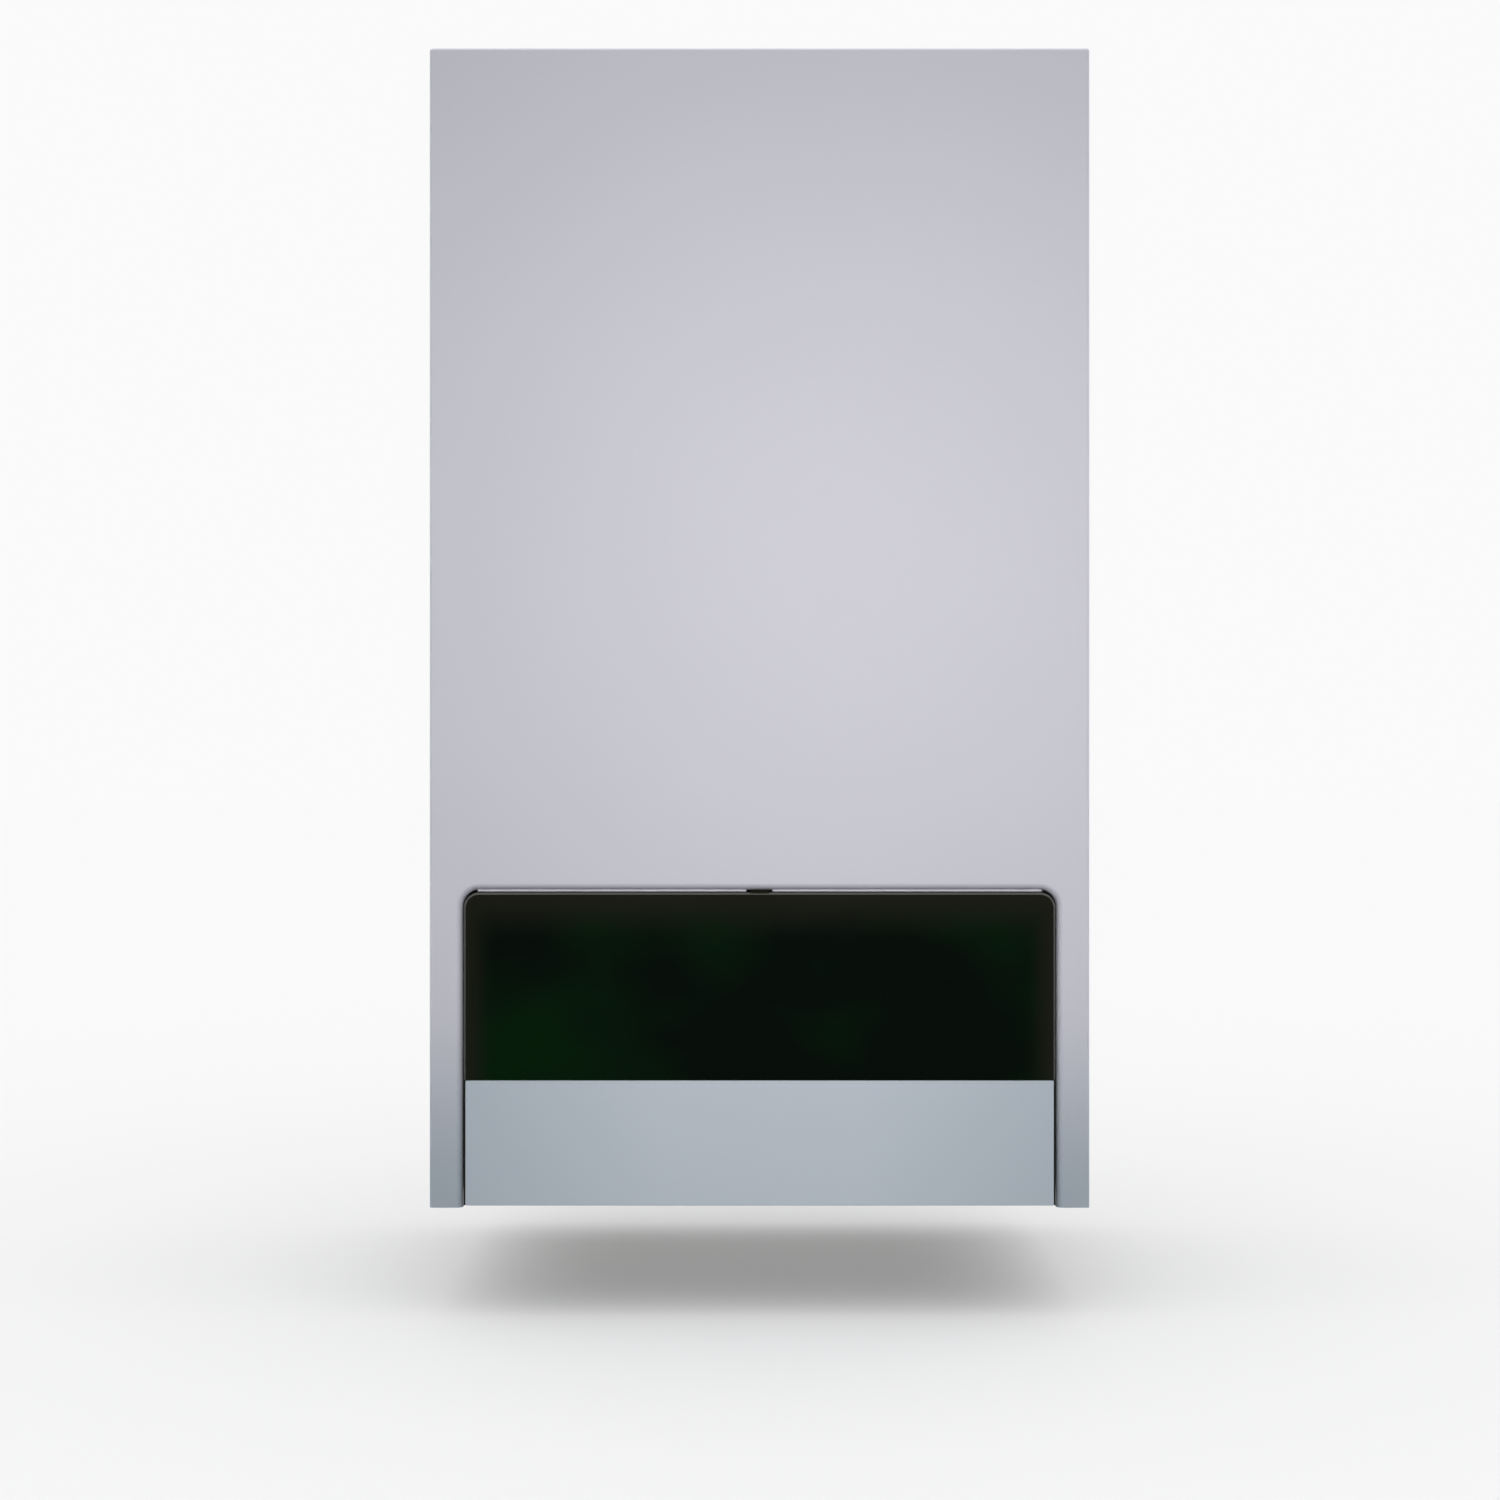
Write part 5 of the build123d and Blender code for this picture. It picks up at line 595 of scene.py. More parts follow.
# ---------------------------------------------------------------- operators
class BOILER_OT_casing(bpy.types.Operator):
    """Casing: powder-coated sheet, and the zinc-plated screws of casing and frame"""

    bl_idname = "boiler.casing"
    bl_label = "Casing"

    def execute(self, context):
        colours = context.scene.boiler_colours
        # the casing's paint is darkened towards its lower front: painted shade
        paint = powder_coat("powder_coated_casing", colours.casing, shade_colour=colours.foot,
                            mask=foot_mask(140 * MM))
        dress(paint, "front_casing")
        dress(drawn_metal("zinc_plated_screw", linear("#a9abad"), 0.34, (1, 1, 1), 0.8), "casing_screws",
              "frame_screws")
        self.hem(paint)
        return {"FINISHED"}

    def hem(self, paint):
        """The folded hem under the opening's top edge, seen as a pale line above the flap; open at the catch.

        A rounded strip: a small superellipse carried along x.
        """
        top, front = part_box("flap_panel")[1].z - CATCH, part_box("front_casing")[0].y
        setback, lift = 2.6 * MM, 1.1 * MM
        ring = superellipse(0.6 * MM, 0.65 * MM, 0.5, 16)
        for name, start, stop in (("hem_left", -171, -8), ("hem_right", 8, 171)):
            along = np.linspace(start, stop, 12) * MM
            grid = np.empty((len(along), len(ring), 3))
            grid[..., 0] = along[:, None]
            grid[..., 1] = front + setback + ring[:, 0]
            grid[..., 2] = top + lift + ring[:, 1]
            skin(name, grid, paint, "casing")


class BOILER_OT_flap(bpy.types.Operator):
    """Flap: dark acrylic with a polished bevel above, satin plate below"""

    bl_idname = "boiler.flap"
    bl_label = "Flap"

    def execute(self, context):
        colours = context.scene.boiler_colours
        dress(tinted_acrylic("tinted_acrylic_panel", colours.panel, *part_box("flap_panel")), "flap_panel")
        # the lower plate's paint is darkened towards its two ends: painted shade
        end_shade = end_mask(60 * MM, 178 * MM)
        dress(powder_coat("satin_lower_plate", colours.plate, 0.38, colours.plate_ends, end_shade),
              "flap_lower_plate")
        return {"FINISHED"}


class BOILER_OT_sheet_metal(bpy.types.Operator):
    """Frame, tray, bracket and chamber: galvanised and stainless sheet"""

    bl_idname = "boiler.sheet_metal"
    bl_label = "Frame and chamber"

    def execute(self, context):
        dress(galvanised_sheet("galvanised_sheet", linear("#b4b8ba")), "wall_bracket", "rear_frame",
              "top_panel", "bottom_tray", "chamber_shell", "chamber_cover")
        dress(drawn_metal("brushed_stainless", linear("#b0aeab"), 0.3, (0.05, 1, 1), 0.6, 0.05),
              "combustion_box", "flue_hood", "burner_bars", "plate_heat_exchanger", "fan_impeller",
              "hinge_pins", "diverter_spindle")
        dress(cast_metal("die_cast_aluminium", linear("#b5b7b9"), 0.42), "flue_collar", "flue_gas_pipe",
              "fan_housing", "burner_manifold", "gas_valve")
        dress(vulcanised_rubber("black_seal_rubber", linear("#1c1c1d")), "chamber_seal", "vessel_diaphragm")
        dress(vulcanised_rubber("silicone_hose", linear("#8f3a26")), "pressure_hoses")
        dress(pressed_fibre("ceramic_fibre_board", linear("#e2dfd6")), "insulation_boards")
        dress(glazed_ceramic("glazed_alumina", linear("#e7e4dc")), "electrodes")
        dress(clear_pane("toughened_sight_glass", linear("#dcebe4")), "sight_glass")
        return {"FINISHED"}


class BOILER_OT_water_side(bpy.types.Operator):
    """Water side: copper, brass, cast iron, motors and the red expansion vessel"""

    bl_idname = "boiler.water_side"
    bl_label = "Pipes, pump and vessel"

    def execute(self, context):
        colours = context.scene.boiler_colours
        dress(drawn_metal("drawn_copper", linear("#c98561"), 0.28, (1, 1, 0.08), 0.7, 0.16), "copper_pipes",
              "heat_exchanger_fins", "heat_exchanger_tube")
        dress(cast_metal("forged_brass", linear("#c7a463"), 0.33, grit_mm=0.6, depth=0.03), "flow_block",
              "return_block", "relief_valve", "filling_valve", "air_vent")
        dress(powder_coat("red_vessel_enamel", colours.vessel, 0.36), "expansion_vessel")
        dress(cast_metal("cast_iron_paint", linear("#45494d"), 0.62, 0.15, 1.1, 0.12), "pump_housing")
        dress(powder_coat("black_motor_paint", linear("#33363a"), 0.45), "pump_motor", "fan_motor")
        dress(moulded("black_nylon", linear("#232527"), 0.5), "diverter_motor", "pump_impeller",
              "filling_knob", "cable_gland")
        dress(moulded("red_nylon", linear("#b3261d"), 0.38), "relief_knob")
        return {"FINISHED"}


class BOILER_OT_controls(bpy.types.Operator):
    """Control box: moulded plastics, circuit board, display and gauge"""

    bl_idname = "boiler.controls"
    bl_label = "Control box"

    def execute(self, context):
        colours = context.scene.boiler_colours
        dress(moulded("dark_box_plastic", colours.housing, 0.55, 0.8, 0.04), "control_box",
              "control_box_cover")
        dress(moulded("light_fascia_plastic", colours.fascia, 0.45), "control_fascia", "air_pressure_switch")
        dress(moulded("grey_knob_plastic", linear("#55585d"), 0.4, 0.5, 0.03), "heating_knob",
              "hot_water_knob")
        dress(moulded("grey_key_plastic", linear("#8d9197"), 0.42), "reset_button", "service_button")
        dress(moulded("black_rocker_plastic", linear("#1b1b1d"), 0.22, 1.0, 0.01), "power_switch")
        dress(circuit_laminate("green_circuit_laminate", linear("#1f6b3b")), "circuit_board")
        dress(moulded("grey_display_pane", linear("#6c7a68"), 0.12, 2.0, 0.004, 0.5, 0.4), "display")
        dress(moulded("white_gauge_case", linear("#e2e2de"), 0.35), "pressure_gauge")
        dress(screen_ink("black_needle_paint", linear("#1a1a1a")), "gauge_needle")
        return {"FINISHED"}


class BOILER_OT_fascia_marks(bpy.types.Operator):
    """Scales, pictograms and rings printed on the fascia round the dials, keys, switch and display"""

    bl_idname = "boiler.fascia_marks"
    bl_label = "Fascia marks"

    def execute(self, context):
        self.rise = context.scene.boiler_sizes.print_rise
        self.face = fascia_face()
        self.ink = screen_ink("dark_grey_ink", linear("#3a3d42"))
        self.marks = []
        heating, water = middle(*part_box("heating_knob")), middle(*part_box("hot_water_knob"))
        for centre in (heating, water):
            self.dial_scale(centre)
        above = np.array((0.0, 35 * MM))
        self.radiator(heating + above)
        self.tap(water + above)
        self.under_keys()
        self.round_switch()
        self.display_frame()
        joined("fascia_marks", self.marks)
        return {"FINISHED"}

    def line(self, path, width, closed=False):
        """One printed line on the fascia; a closed one runs on into its start."""
        grid = stroke(path, width, self.face, self.rise, closed)
        self.marks.append(skin(f"mark_{len(self.marks)}", grid, self.ink, "control_unit",
                               wrap_rows=closed))

    def lines(self, origin, rows):
        """Straight lines, each from (x, z) to (x, z) and so wide, in millimetres from an origin."""
        for x0, z0, x1, z1, width in rows:
            self.line(np.array(origin) + np.array(((x0, z0), (x1, z1))) * MM, width * MM)

    def dial_scale(self, centre):
        """Eleven ticks over 270 degrees, every fifth one longer, on an arc round a dial."""
        for step in range(11):
            long = 3.2 if step % 5 == 0 else 2.0
            self.line(ray(centre, 21.5 * MM, (21.5 + long) * MM, -135 + 27 * step), 0.7 * MM)
        self.line(arc(centre, 21.2 * MM, -135, 135, 61), 0.4 * MM)

    def radiator(self, origin):
        """Four upright bars and two rails."""
        bars = [3.4 * (index - 1.5) for index in range(4)]
        self.lines(origin, [(x, -4, x, 4, 1.5) for x in bars])
        self.lines(origin, [(-7, z, 7, z, 0.7) for z in (-2.6, 2.6)])

    def tap(self, origin):
        """A pipe with a bent spout, a stem with its handle, and a drop."""
        self.lines(origin, ((-6, 1, 1, 1, 2.4), (-2, 2, -2, 5, 1.0), (-5, 5, 1, 5, 1.0),
                            (4.6, -4.5, 4.6, -6.5, 0.9)))
        self.line(arc(origin + np.array((1, -2.6)) * MM, 3.6 * MM, 0, 90, 9), 2.2 * MM)

    def under_keys(self):
        """Under the reset key a turning arrow, and under the service key a flame with its core."""
        low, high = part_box("reset_button")
        centre = ((low.x + high.x) / 2, low.z - 6 * MM)
        radius, start, stop = 3 * MM, 55, 325
        self.line(arc(centre, radius, start, stop, 25), 0.8 * MM)
        foot = arc(centre, radius, stop, stop, 1)[0]
        heading = np.array((math.cos(math.radians(stop)), -math.sin(math.radians(stop))))
        self.line(np.array((foot, foot + 2.9 * MM * heading)), np.array((3.2, 0.1)) * MM)
        low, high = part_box("service_button")
        x, z = (low.x + high.x) / 2, low.z - 6 * MM
        self.line(flame(x, z, 2.6 * MM), 0.7 * MM, closed=True)
        self.line(flame(x, z - 1.7 * MM, 1.1 * MM), 0.5 * MM, closed=True)

    def round_switch(self):
        """A line over the rocker for on, and a ring below it for off."""
        low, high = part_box("power_switch")
        x = (low.x + high.x) / 2
        self.lines((x, high.z), ((0, 3, 0, 7, 0.9),))
        self.line(arc((x, low.z - 5 * MM), 2.2 * MM, 0, 360, 25)[:-1], 0.8 * MM, closed=True)

    def display_frame(self):
        """A rounded rectangle 3 mm outside the display."""
        low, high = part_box("display")
        half_wide, half_tall = (high.x - low.x) / 2 + 3 * MM, (high.z - low.z) / 2 + 3 * MM
        self.line(middle(low, high) + superellipse(half_wide, half_tall, 0.2, 64), 0.6 * MM, closed=True)


class BOILER_OT_gauge_face(bpy.types.Operator):
    """Pressure gauge: its coloured bands, ticks and figures, and a flat window with a rounded edge"""

    bl_idname = "boiler.gauge_face"
    bl_label = "Pressure gauge"

    def execute(self, context):
        rise = context.scene.boiler_sizes.print_rise
        low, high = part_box("pressure_gauge")
        centre = middle(low, high)
        dial_y = fascia_face() - 1.02 * MM
        self.bands(centre, dial_y, rise)
        self.scale(centre, dial_y, rise)
        self.window((centre[0], low.y + 1.0 * MM, centre[1]))
        return {"FINISHED"}

    def bands(self, centre, dial_y, rise):
        """The working range in green and the relief valve's range in red."""
        for name, colour, start, stop in (("gauge_green_band", "#3f9a52", -60, 40),
                                          ("gauge_red_band", "#c23a2c", 75, 120)):
            grid = stroke(arc(centre, 14.6 * MM, start, stop, 31), 1.6 * MM, dial_y, rise / 2)
            skin(name, grid, screen_ink(name + "_ink", linear(colour)), "control_unit")

    def scale(self, centre, dial_y, rise):
        """Ticks every 15 degrees from -120 to 120, every fourth one long with a figure, and the unit."""
        black = screen_ink("black_dial_ink", linear("#202123"))
        ticks = []
        for step in range(17):
            inner, width = (12.2, 0.7) if step % 4 == 0 else (14.2, 0.4)
            path = ray(centre, inner * MM, 16.4 * MM, -120 + 15 * step)
            ticks.append(skin(f"tick_{step}", stroke(path, width * MM, dial_y, rise), black, "control_unit"))
        for figure in range(5):
            x, z = arc(centre, 9.3 * MM, -120 + 60 * figure, 0, 1)[0]
            ticks.append(lettering(f"figure_{figure}", str(figure), x, z, dial_y, 3.0 * MM, black,
                                   "control_unit"))
        ticks.append(lettering("figure_unit", "bar", centre[0], centre[1] - 8.6 * MM, dial_y, 2.4 * MM,
                               black, "control_unit"))
        joined("gauge_scale", ticks)

    def window(self, foot):
        """A turned disc whose front edge is a quarter of a circle."""
        radius, thick, core = 19.3 * MM, 0.9 * MM, 0.4 * MM
        share = np.linspace(0, 1, 9)[1:]
        edge = np.stack((radius - thick * share, thick * np.sqrt(1 - (1 - share) ** 2)), axis=1)
        profile = [(core, 0.0), (radius, 0.0), *edge, (core, thick)]
        glass = clear_pane("clear_gauge_window", linear("#fbfdfc"), 1.0, 0.15)
        skin("gauge_window", turned(foot, (0.0, -1.0, 0.0), profile), glass, "control_unit")


class BOILER_OT_display_figures(bpy.types.Operator):
    """Segment figures and small symbols on the display's pane"""

    bl_idname = "boiler.display_figures"
    bl_label = "Display figures"

    def execute(self, context):
        low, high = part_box("display")
        rise = context.scene.boiler_sizes.print_rise
        ink = screen_ink("liquid_crystal_black", linear("#1c241c"))
        centre_x, z0 = middle(low, high)
        x0 = centre_x - 9 * MM
        wide, tall, pitch, gap = 5.2 * MM, 7.6 * MM, 9.5 * MM, 0.8 * MM
        segments = {"a": (0, 1, 1, 1), "b": (1, 1, 1, 0), "c": (1, 0, 1, -1), "d": (0, -1, 1, -1),
                    "e": (0, 0, 0, -1), "f": (0, 1, 0, 0), "g": (0, 0, 1, 0)}
        bars = []
        for place, lit in enumerate(("acdefg", "abcdef")):
            left = x0 + place * pitch
            for key in lit:
                ax, az, bx, bz = segments[key]
                start = np.array((left + ax * wide, z0 + az * tall))
                stop = np.array((left + bx * wide, z0 + bz * tall))
                trim = (stop - start) / np.linalg.norm(stop - start) * gap
                grid = stroke((start + trim, stop - trim), 1.3 * MM, low.y, rise)
                bars.append(skin(f"bar_{len(bars)}", grid, ink, "control_unit"))
        degree_x, burner_x = x0 + 20 * MM, x0 - 20 * MM
        ring = arc((degree_x, z0 + 6.4 * MM), 1.2 * MM, 0, 360, 17)[:-1]
        lines = {"degree": (ring, 0.6), "burner": (flame(burner_x, z0, 4.4 * MM), 0.8),
                 "burner_core": (flame(burner_x, z0 - 2.8 * MM, 1.8 * MM), 0.7)}
        for name, (path, width) in lines.items():
            bars.append(skin(name, stroke(path, width * MM, low.y, rise, True), ink, "control_unit",
                             wrap_rows=True))
        joined("display_figures", bars)
        return {"FINISHED"}


class BOILER_OT_dial_pointers(bpy.types.Operator):
    """White pointers on the two dials"""

    bl_idname = "boiler.dial_pointers"
    bl_label = "Dial pointers"

    def execute(self, context):
        rise = context.scene.boiler_sizes.print_rise
        white = screen_ink("white_ink", linear("#eceded"))
        for node, body in (("heating_knob", "heating_dial"), ("hot_water_knob", "hot_water_dial")):
            low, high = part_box(node)
            path = ray(middle(low, high), 8.6 * MM, 15.4 * MM, 0)
            skin(node + "_pointer", stroke(path, 1.2 * MM, low.y, rise), white, body)
        return {"FINISHED"}


class BOILER_OT_pipe_threads(bpy.types.Operator):
    """Pipe tails with cut threads, chamfered nuts, necks and bores"""

    bl_idname = "boiler.pipe_threads"
    bl_label = "Pipe tails"

    def execute(self, context):
        pitch = context.scene.boiler_sizes.thread_pitch
        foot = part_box("pipe_tails")[0]
        brass = cast_metal("machined_brass", linear("#cdb074"), 0.26, grit_mm=0.5, depth=0.015)
        tails = []
        for index in range(5):
            thread = (13.2 if index % 2 == 0 else 10.5) * MM
            top = (62 if index == 2 else 38) * MM
            place = ((index - 2) * TAIL_SPACING, TAIL_LINE)
            grid = self.tail(place, thread, foot.z, 8 * MM, 18 * MM, top, pitch)
            tails.append(skin(f"tail_{index}", grid, brass, "frame", wrap_rows=True))
        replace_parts(joined("threaded_pipe_tails", tails), "pipe_tails")
        return {"FINISHED"}

    def tail(self, centre, thread, foot, nut_low, nut_high, top, pitch, columns=48):
        """Radius as a function of height and angle, on one grid: up the outside and back down the bore.

        Thread: crest minus depth times a triangle wave of (height / pitch - angle / full turn). Nut: a
        hexagon cut by a cone at both ends. Neck and bore: constant.
        """
        neck, bore = thread - 1.5 * MM, thread - 3.7 * MM
        angle = np.linspace(0, 2 * math.pi, columns, endpoint=False)
        heights = np.arange(foot + 1.2 * MM, nut_low - 0.5 * MM, pitch / 6)
        phase = heights[:, None] / pitch - angle[None] / (2 * math.pi)
        wave = np.abs(2 * (phase - np.floor(phase)) - 1)
        cut = thread - 0.58 * pitch * wave
        flats = thread + 2 * MM
        six = hexagon(angle, flats)
        corner = flats * 1.08
        rounds = [
            (np.full(columns, bore), foot),
            (np.full(columns, thread - 0.9 * MM), foot),
            *[(row, height) for row, height in zip(cut, heights)],
            (np.full(columns, neck), nut_low - 0.3 * MM),
            (np.full(columns, neck), nut_low),
            (np.minimum(six, corner - 0.6 * MM), nut_low),
            (np.minimum(six, corner + 1.0 * MM), nut_low + 0.9 * MM),
            (np.minimum(six, corner + 1.0 * MM), nut_high - 0.9 * MM),
            (np.minimum(six, corner - 0.6 * MM), nut_high),
            (np.full(columns, neck), nut_high),
            (np.full(columns, neck), top),
            (np.full(columns, bore), top),
        ]
        radius = np.array([r for r, _ in rounds])
        height = np.array([h for _, h in rounds])
        return np.stack((centre[0] + radius * np.cos(angle), centre[1] + radius * np.sin(angle),
                         np.broadcast_to(height[:, None], radius.shape)), axis=-1)


class BOILER_OT_fittings(bpy.types.Operator):
    """Union nuts on the pipes, the pump's vent screw, and the gas valve's screws and test nipples"""

    bl_idname = "boiler.fittings"
    bl_label = "Fittings"

    def execute(self, context):
        brass = cast_metal("machined_union_brass", linear("#cdb074"), 0.28, grit_mm=0.5, depth=0.015)
        self.nuts(brass)
        self.vent_screw(brass)
        self.gas_valve_fixings(brass)
        return {"FINISHED"}

    def nuts(self, brass):
        """Under each block and the gas valve, and where the copper pipes leave the valve, pump and return."""
        block_foot, valve_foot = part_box("flow_block")[0].z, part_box("gas_valve")[0].z
        valve_top, pump_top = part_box("gas_valve")[1].z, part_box("pump_housing")[1].z
        return_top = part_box("return_block")[1].z
        gap = 0.1 * MM
        nuts = []
        for index in range(5):
            wide, foot = index % 2 == 0, valve_foot if index == 2 else block_foot
            flats, neck = (15 * MM, 11.75 * MM) if wide else (12.5 * MM, 9.05 * MM)
            place = ((index - 2) * TAIL_SPACING, TAIL_LINE)
            nuts.append(union_nut(place, flats, foot - 10 * MM, foot - gap, neck))
        nuts.append(union_nut((0.0, TAIL_LINE), 13 * MM, valve_top + gap, valve_top + 11 * MM, 9.05 * MM))
        nuts.append(union_nut((2 * TAIL_SPACING, TAIL_LINE), 12 * MM, pump_top + gap, pump_top + 9 * MM,
                              9.05 * MM))
        nuts.append(union_nut((112 * MM, -66 * MM), 7.5 * MM, return_top + gap, return_top + 8 * MM,
                              5.05 * MM, math.pi / 6))
        joined("union_nuts", [skin(f"union_nut_{count}", nut, brass, "frame", wrap_rows=True)
                              for count, nut in enumerate(nuts)])

    def vent_screw(self, brass):
        """A low round screw in the pump motor's face: a disc, and two half discs with the slot between."""
        low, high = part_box("pump_motor")
        face, x, z = low.y, high.x - 42 * MM, high.z - 42 * MM
        radius, half_slot, core, thick = 9 * MM, 1.2 * MM, 0.3 * MM, 1 * MM
        disc = turned((x, face - SEAT, z), (0, -1, 0),
                      [(core, 0), (radius, 0), (radius, thick), (core, thick)])
        parts = [skin("vent_disc", disc, brass, "frame")]
        lean = math.degrees(math.asin(half_slot / radius))
        for side in (0, 180):
            outline = arc((x, z), radius, side + lean, side + 180 - lean, 25)
            centre = outline.mean(axis=0)
            rows = []
            for depth, scale in ((0.9, 1.0), (2.1, 1.0), (2.5, 0.95)):
                ring = centre + (outline - centre) * scale
                rows.append(np.stack((ring[:, 0], np.full(25, face - depth * MM), ring[:, 1]), axis=-1))
            parts.append(skin(f"vent_half_{side}", np.array(rows), brass, "frame"))
        joined("pump_vent_screw", parts)

    def gas_valve_fixings(self, brass):
        """Four hexagon screws at the corners of the valve's face, and two nipples for a pressure tube.

        A screw's rows are its washer, its head and the head's crown, each round or a hexagon by its angle.
        """
        face = GAS_VALVE_FACE
        zinc = drawn_metal("zinc_plated_fixing", linear("#a9abad"), 0.34, (1, 1, 1), 0.8)
        angle = np.linspace(0, 2 * math.pi, 24, endpoint=False)
        washer = np.full(24, 3.2 * MM)
        head, crown = hexagon(angle, 2.75 * MM), hexagon(angle, 2.5 * MM)
        screws = []
        for x in (-27, 27):
            for z in (67, 135):
                rows = []
                for rise, radius in ((-0.3, washer), (0.5, washer), (0.55, head), (2.6, head), (3.0, crown)):
                    rows.append(np.stack((x * MM + radius * np.cos(angle), np.full(24, face - rise * MM),
                                          z * MM + radius * np.sin(angle)), axis=-1))
                screws.append(skin(f"valve_screw_{x}_{z}", np.array(rows), zinc, "frame"))
        joined("gas_valve_screws", screws)
        tube = np.array(((1.2, 7.0), (1.2, -0.3), (3.6, -0.3), (3.6, 3.0), (2.4, 3.4), (2.4, 8.6), (2.9, 9.0),
                         (2.4, 10.4), (1.2, 10.4))) * MM
        nipples = []
        for x in (-24, 24):
            grid = turned((x * MM, face, 112 * MM), (0, -1, 0), tube, 24)
            nipples.append(skin(f"valve_nipple_{x}", grid, brass, "frame", wrap_rows=True))
        joined("gas_valve_nipples", nipples)


class BOILER_OT_board_parts(bpy.types.Operator):
    """Cases of the larger parts on the circuit board, and the gas valve's coils"""

    bl_idname = "boiler.board_parts"
    bl_label = "Board parts and coils"

    def execute(self, context):
        relay = moulded("blue_relay_case", linear("#2b4f86"), 0.35)
        tape = moulded("yellow_coil_tape", linear("#c9a53a"), 0.5)
        green = moulded("green_terminal", linear("#3c7d55"), 0.45)
        epoxy = moulded("black_epoxy", linear("#1d1e20"), 0.5)
        parts = (
            ("transformer_case", (-60, -10), (40, 82), 30, tape),
            ("relay_case_left", (10, 30), (40, 56), 16, relay),
            ("relay_case_right", (36, 56), (40, 56), 16, relay),
            ("terminal_strip", (-79, 150), (24, 34), 12, green),
            ("processor_case", (-20, 20), (113, 143), 8, epoxy),
        )
        grow = 0.25 * MM
        for name, (x0, x1), (z0, z1), deep, material in parts:
            half_deep = deep / 2 * MM + grow / 2
            centre = ((x0 + x1) / 2 * MM, BOARD_FACE + half_deep, (z0 + z1) / 2 * MM)
            half = ((x1 - x0) / 2 * MM + grow, half_deep, (z1 - z0) / 2 * MM + grow)
            skin(name, pillow(centre, half, 0.06), material, "control_unit")
        sleeve = moulded("capacitor_sleeve", linear("#23324a"), 0.3)
        can = np.array(((0.5, 0), (7.2, 0), (7.2, 23), (6.6, 24.1), (6.0, 24.1), (5.8, 23.9),
                        (0.5, 23.9))) * MM
        for index, x in enumerate((80, 98)):
            grid = turned((x * MM, BOARD_FACE + SEAT, 60 * MM), (0, 1, 0), can, 32)
            skin(f"capacitor_{index}", grid, sleeve, "control_unit")
        coil = moulded("black_coil_moulding", linear("#242528"), 0.48)
        case = np.array(((0.5, 0), (14.1, 0), (14.1, 25.5), (12.9, 27.2), (6.5, 27.2), (6.0, 28.2),
                         (0.5, 28.2))) * MM
        for index, (x, z) in enumerate(((-15.5, 83), (15.5, 83), (0, 119))):
            grid = turned((x * MM, GAS_VALVE_FACE - SEAT, z * MM), (0, -1, 0), case, 40)
            skin(f"gas_valve_coil_{index}", grid, coil, "frame")
        return {"FINISHED"}


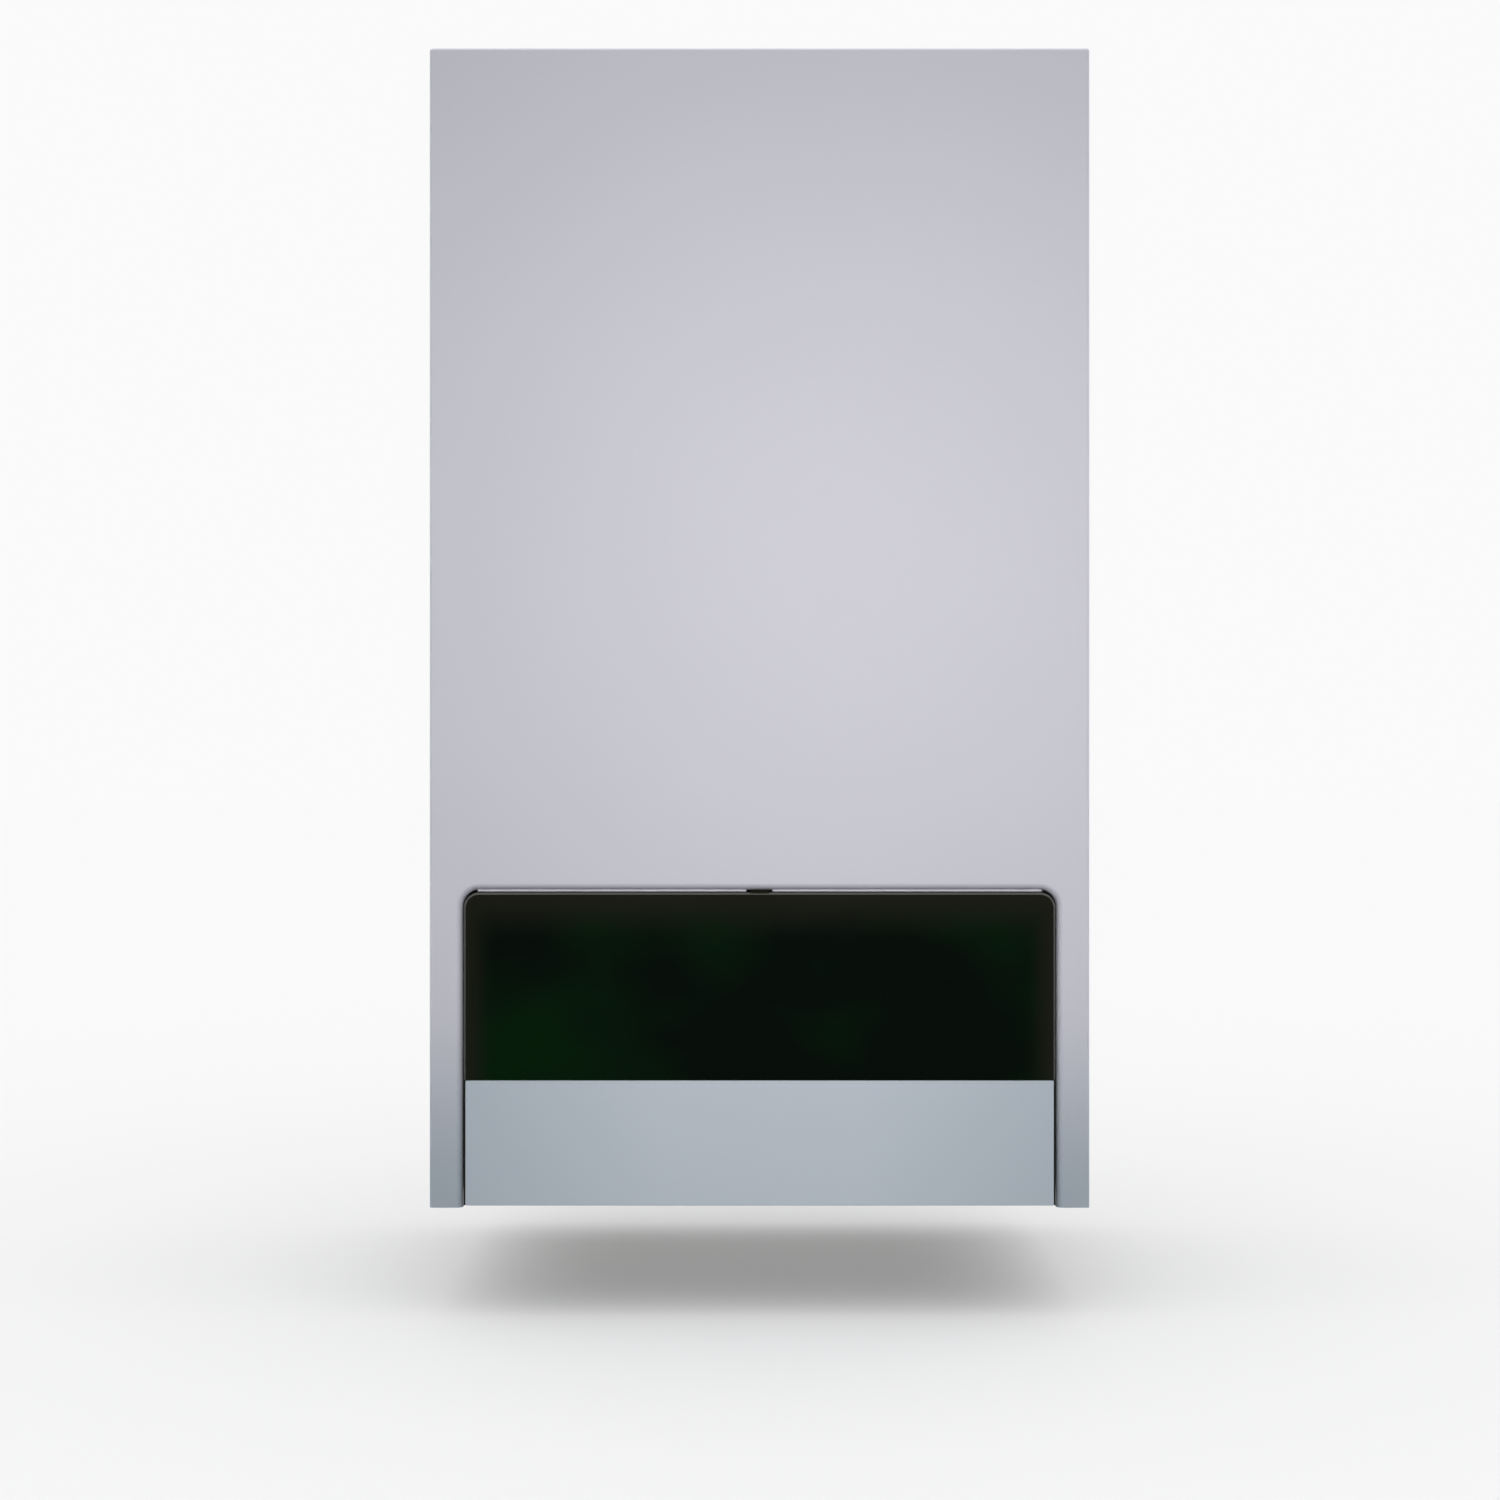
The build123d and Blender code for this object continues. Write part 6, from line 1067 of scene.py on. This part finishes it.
class BOILER_OT_stage(bpy.types.Operator):
    """Floor, soft lamps, world and camera"""

    bl_idname = "boiler.stage"
    bl_label = "Stage"

    def execute(self, context):
        sizes = context.scene.boiler_sizes
        self.floor(sizes.floor_drop)
        self.world()
        self.sky(strength=2.78, width_degrees=120.0, lean_degrees=8.0)
        self.softbox("softbox_front", (0.08, -2.8, 0.62), (0.065, -0.3, 0.38), size=0.7,
                     spread_degrees=25.0, power=0.66, colour=(1.0, 0.95, 0.97), gloss=True)
        self.softbox("softbox_left", (-2.5, -0.7, 0.65), (0.0, -0.15, 0.35), size=1.4,
                     spread_degrees=70.0, power=1.6, gloss=True)
        self.softbox("softbox_right", (2.5, -0.7, 0.65), (0.0, -0.15, 0.35), size=1.4,
                     spread_degrees=70.0, power=2.0, gloss=True)
        self.softbox("softbox_rear", (0.5, 2.8, 1.1), (0.0, -0.1, 0.35), size=0.9,
                     spread_degrees=60.0, power=3.0)
        self.camera(sizes)
        context.scene.view_settings.view_transform = "Standard"
        return {"FINISHED"}

    def camera(self, sizes):
        """A camera that looks level at the casing, with the lens that takes in the asked width there."""
        camera = bpy.data.cameras.new("camera")
        camera.sensor_width = 36.0
        camera.lens = 36.0 * sizes.camera_distance / sizes.view_width
        camera.clip_start, camera.clip_end = 0.01, 50.0
        holder = bpy.data.objects.new("camera", camera)
        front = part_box("front_casing")[0].y
        holder.location = (sizes.camera_side, front - sizes.camera_distance, sizes.camera_height)
        holder.rotation_euler = (math.pi / 2, 0.0, 0.0)
        bpy.context.scene.collection.objects.link(holder)
        bpy.context.scene.camera = holder

    def floor(self, drop):
        """A flat pale floor: white to the camera and in reflections, a softer grey as a light source.

        Its collection is left out of what the softboxes light.
        """
        material = bpy.data.materials.new("pale_studio_floor")
        material.use_nodes = True
        tree = material.node_tree
        tree.nodes.clear()
        seen = self.seen_by_eye(tree)
        dim, bright = linear("#5c676b"), linear("#f2f2f2")
        tint = add_node(tree, "ShaderNodeMix", {"Factor": seen, "A": dim, "B": bright}, data_type="RGBA")
        matt = add_node(tree, "ShaderNodeBsdfDiffuse", {"Color": tint.outputs["Result"]}).outputs[0]
        glow = add_node(tree, "ShaderNodeEmission", {"Color": linear("#fafafa"), "Strength": 1.0}).outputs[0]
        share = add_node(tree, "ShaderNodeMath", {0: seen, 1: 0.25}, operation="MULTIPLY").outputs[0]
        mixed = add_node(tree, "ShaderNodeMixShader", {0: share, 1: matt, 2: glow}).outputs[0]
        add_node(tree, "ShaderNodeOutputMaterial", {"Surface": mixed})
        u, v = np.meshgrid(np.linspace(-15, 15, 3), np.linspace(-15, 15, 3), indexing="ij")
        points = np.stack((u, v, np.full_like(u, -drop)), axis=-1).reshape(-1, 3)
        index = np.arange(9).reshape(3, 3)
        corners = (index[:-1, :-1], index[1:, :-1], index[1:, 1:], index[:-1, 1:])
        mesh = bpy.data.meshes.new("studio_floor")
        mesh.from_pydata(points.tolist(), [], np.stack(corners, axis=-1).reshape(-1, 4).tolist())
        mesh.materials.append(material)
        piece = bpy.data.objects.new("studio_floor", mesh)
        bpy.context.scene.collection.objects.link(piece)
        self.unlit = bpy.data.collections.new("out_of_the_softboxes")
        self.unlit.objects.link(piece)
        self.unlit.collection_objects[0].light_linking.link_state = "EXCLUDE"

    def seen_by_eye(self, tree):
        """One for rays from the camera, a reflection or a clear pane, and nought for all others."""
        path = add_node(tree, "ShaderNodeLightPath").outputs
        seen = add_node(tree, "ShaderNodeMath", {0: path["Is Camera Ray"], 1: path["Is Glossy Ray"]},
                        operation="MAXIMUM").outputs[0]
        return add_node(tree, "ShaderNodeMath", {0: seen, 1: path["Is Transmission Ray"]},
                        operation="MAXIMUM").outputs[0]

    def world(self):
        """An even pale surround: white to the camera and in reflections, and a fill for everything else."""
        world = bpy.data.worlds.new("studio_surround")
        world.use_nodes = True
        tree = world.node_tree
        tree.nodes.clear()
        seen = self.seen_by_eye(tree)
        strength = add_node(tree, "ShaderNodeMapRange", {"Value": seen, "To Min": 0.2, "To Max": 1.0})
        back = add_node(tree, "ShaderNodeBackground", {"Color": linear("#fafafa"),
                                                       "Strength": strength.outputs[0]})
        add_node(tree, "ShaderNodeOutputWorld", {"Surface": back.outputs[0]})
        bpy.context.scene.world = world

    def sky(self, strength, width_degrees, lean_degrees):
        """A wide soft lamp above, a little in front, which gives the even floor and the broad shadow.

        Gloss and metal see the white surround in its place, so they come out at about their own colour.
        """
        light = bpy.data.lights.new("overhead", "SUN")
        light.energy, light.angle = strength, math.radians(width_degrees)
        lamp = bpy.data.objects.new("overhead", light)
        lamp.location = (0.0, 0.0, 3.0)
        lamp.visible_glossy = False
        lamp.rotation_euler = (math.radians(lean_degrees), 0.0, 0.0)
        bpy.context.scene.collection.objects.link(lamp)

    def softbox(self, name, place, aim, size, spread_degrees, power, colour=(1.0, 1.0, 1.0), gloss=False):
        """A square softbox with a grid in front, so its light falls off round the point that it faces.

        One without gloss doesn't show in reflections: the rear one would glare on paint seen at a low angle.
        """
        light = bpy.data.lights.new(name, "AREA")
        light.shape, light.size, light.energy, light.color = "SQUARE", size, power, colour
        light.spread = math.radians(spread_degrees)
        lamp = bpy.data.objects.new(name, light)
        lamp.location = place
        lamp.rotation_euler = (Vector(aim) - Vector(place)).to_track_quat("-Z", "Y").to_euler()
        lamp.visible_camera = False
        lamp.visible_glossy = gloss
        lamp.light_linking.receiver_collection = self.unlit
        bpy.context.scene.collection.objects.link(lamp)


OPERATORS = (
    BOILER_OT_casing,
    BOILER_OT_flap,
    BOILER_OT_sheet_metal,
    BOILER_OT_water_side,
    BOILER_OT_controls,
    BOILER_OT_fascia_marks,
    BOILER_OT_gauge_face,
    BOILER_OT_display_figures,
    BOILER_OT_dial_pointers,
    BOILER_OT_pipe_threads,
    BOILER_OT_fittings,
    BOILER_OT_board_parts,
    BOILER_OT_stage,
)


class BOILER_PT_dressing(bpy.types.Panel):
    """Lists the boiler's finishes, fittings and stage"""

    bl_label = "Boiler"
    bl_space_type = "VIEW_3D"
    bl_region_type = "UI"
    bl_category = "Boiler"

    def draw(self, context):
        for name in BoilerColours.__annotations__:
            self.layout.prop(context.scene.boiler_colours, name)
        for name in BoilerSizes.__annotations__:
            self.layout.prop(context.scene.boiler_sizes, name)
        for operator in OPERATORS:
            self.layout.operator(operator.bl_idname)


CLASSES = (BoilerColours, BoilerSizes, *OPERATORS, BOILER_PT_dressing)


def register():
    for cls in CLASSES:
        bpy.utils.register_class(cls)
    bpy.types.Scene.boiler_colours = bpy.props.PointerProperty(type=BoilerColours)
    bpy.types.Scene.boiler_sizes = bpy.props.PointerProperty(type=BoilerSizes)


def unregister():
    del bpy.types.Scene.boiler_sizes
    del bpy.types.Scene.boiler_colours
    for cls in reversed(CLASSES):
        bpy.utils.unregister_class(cls)


def main():
    register()
    bpy.ops.boiler.casing()
    bpy.ops.boiler.flap()
    bpy.ops.boiler.sheet_metal()
    bpy.ops.boiler.water_side()
    bpy.ops.boiler.controls()
    bpy.ops.boiler.fascia_marks()
    bpy.ops.boiler.gauge_face()
    bpy.ops.boiler.display_figures()
    bpy.ops.boiler.dial_pointers()
    bpy.ops.boiler.pipe_threads()
    bpy.ops.boiler.fittings()
    bpy.ops.boiler.board_parts()
    bpy.ops.boiler.stage()


if __name__ == "__main__":
    main()
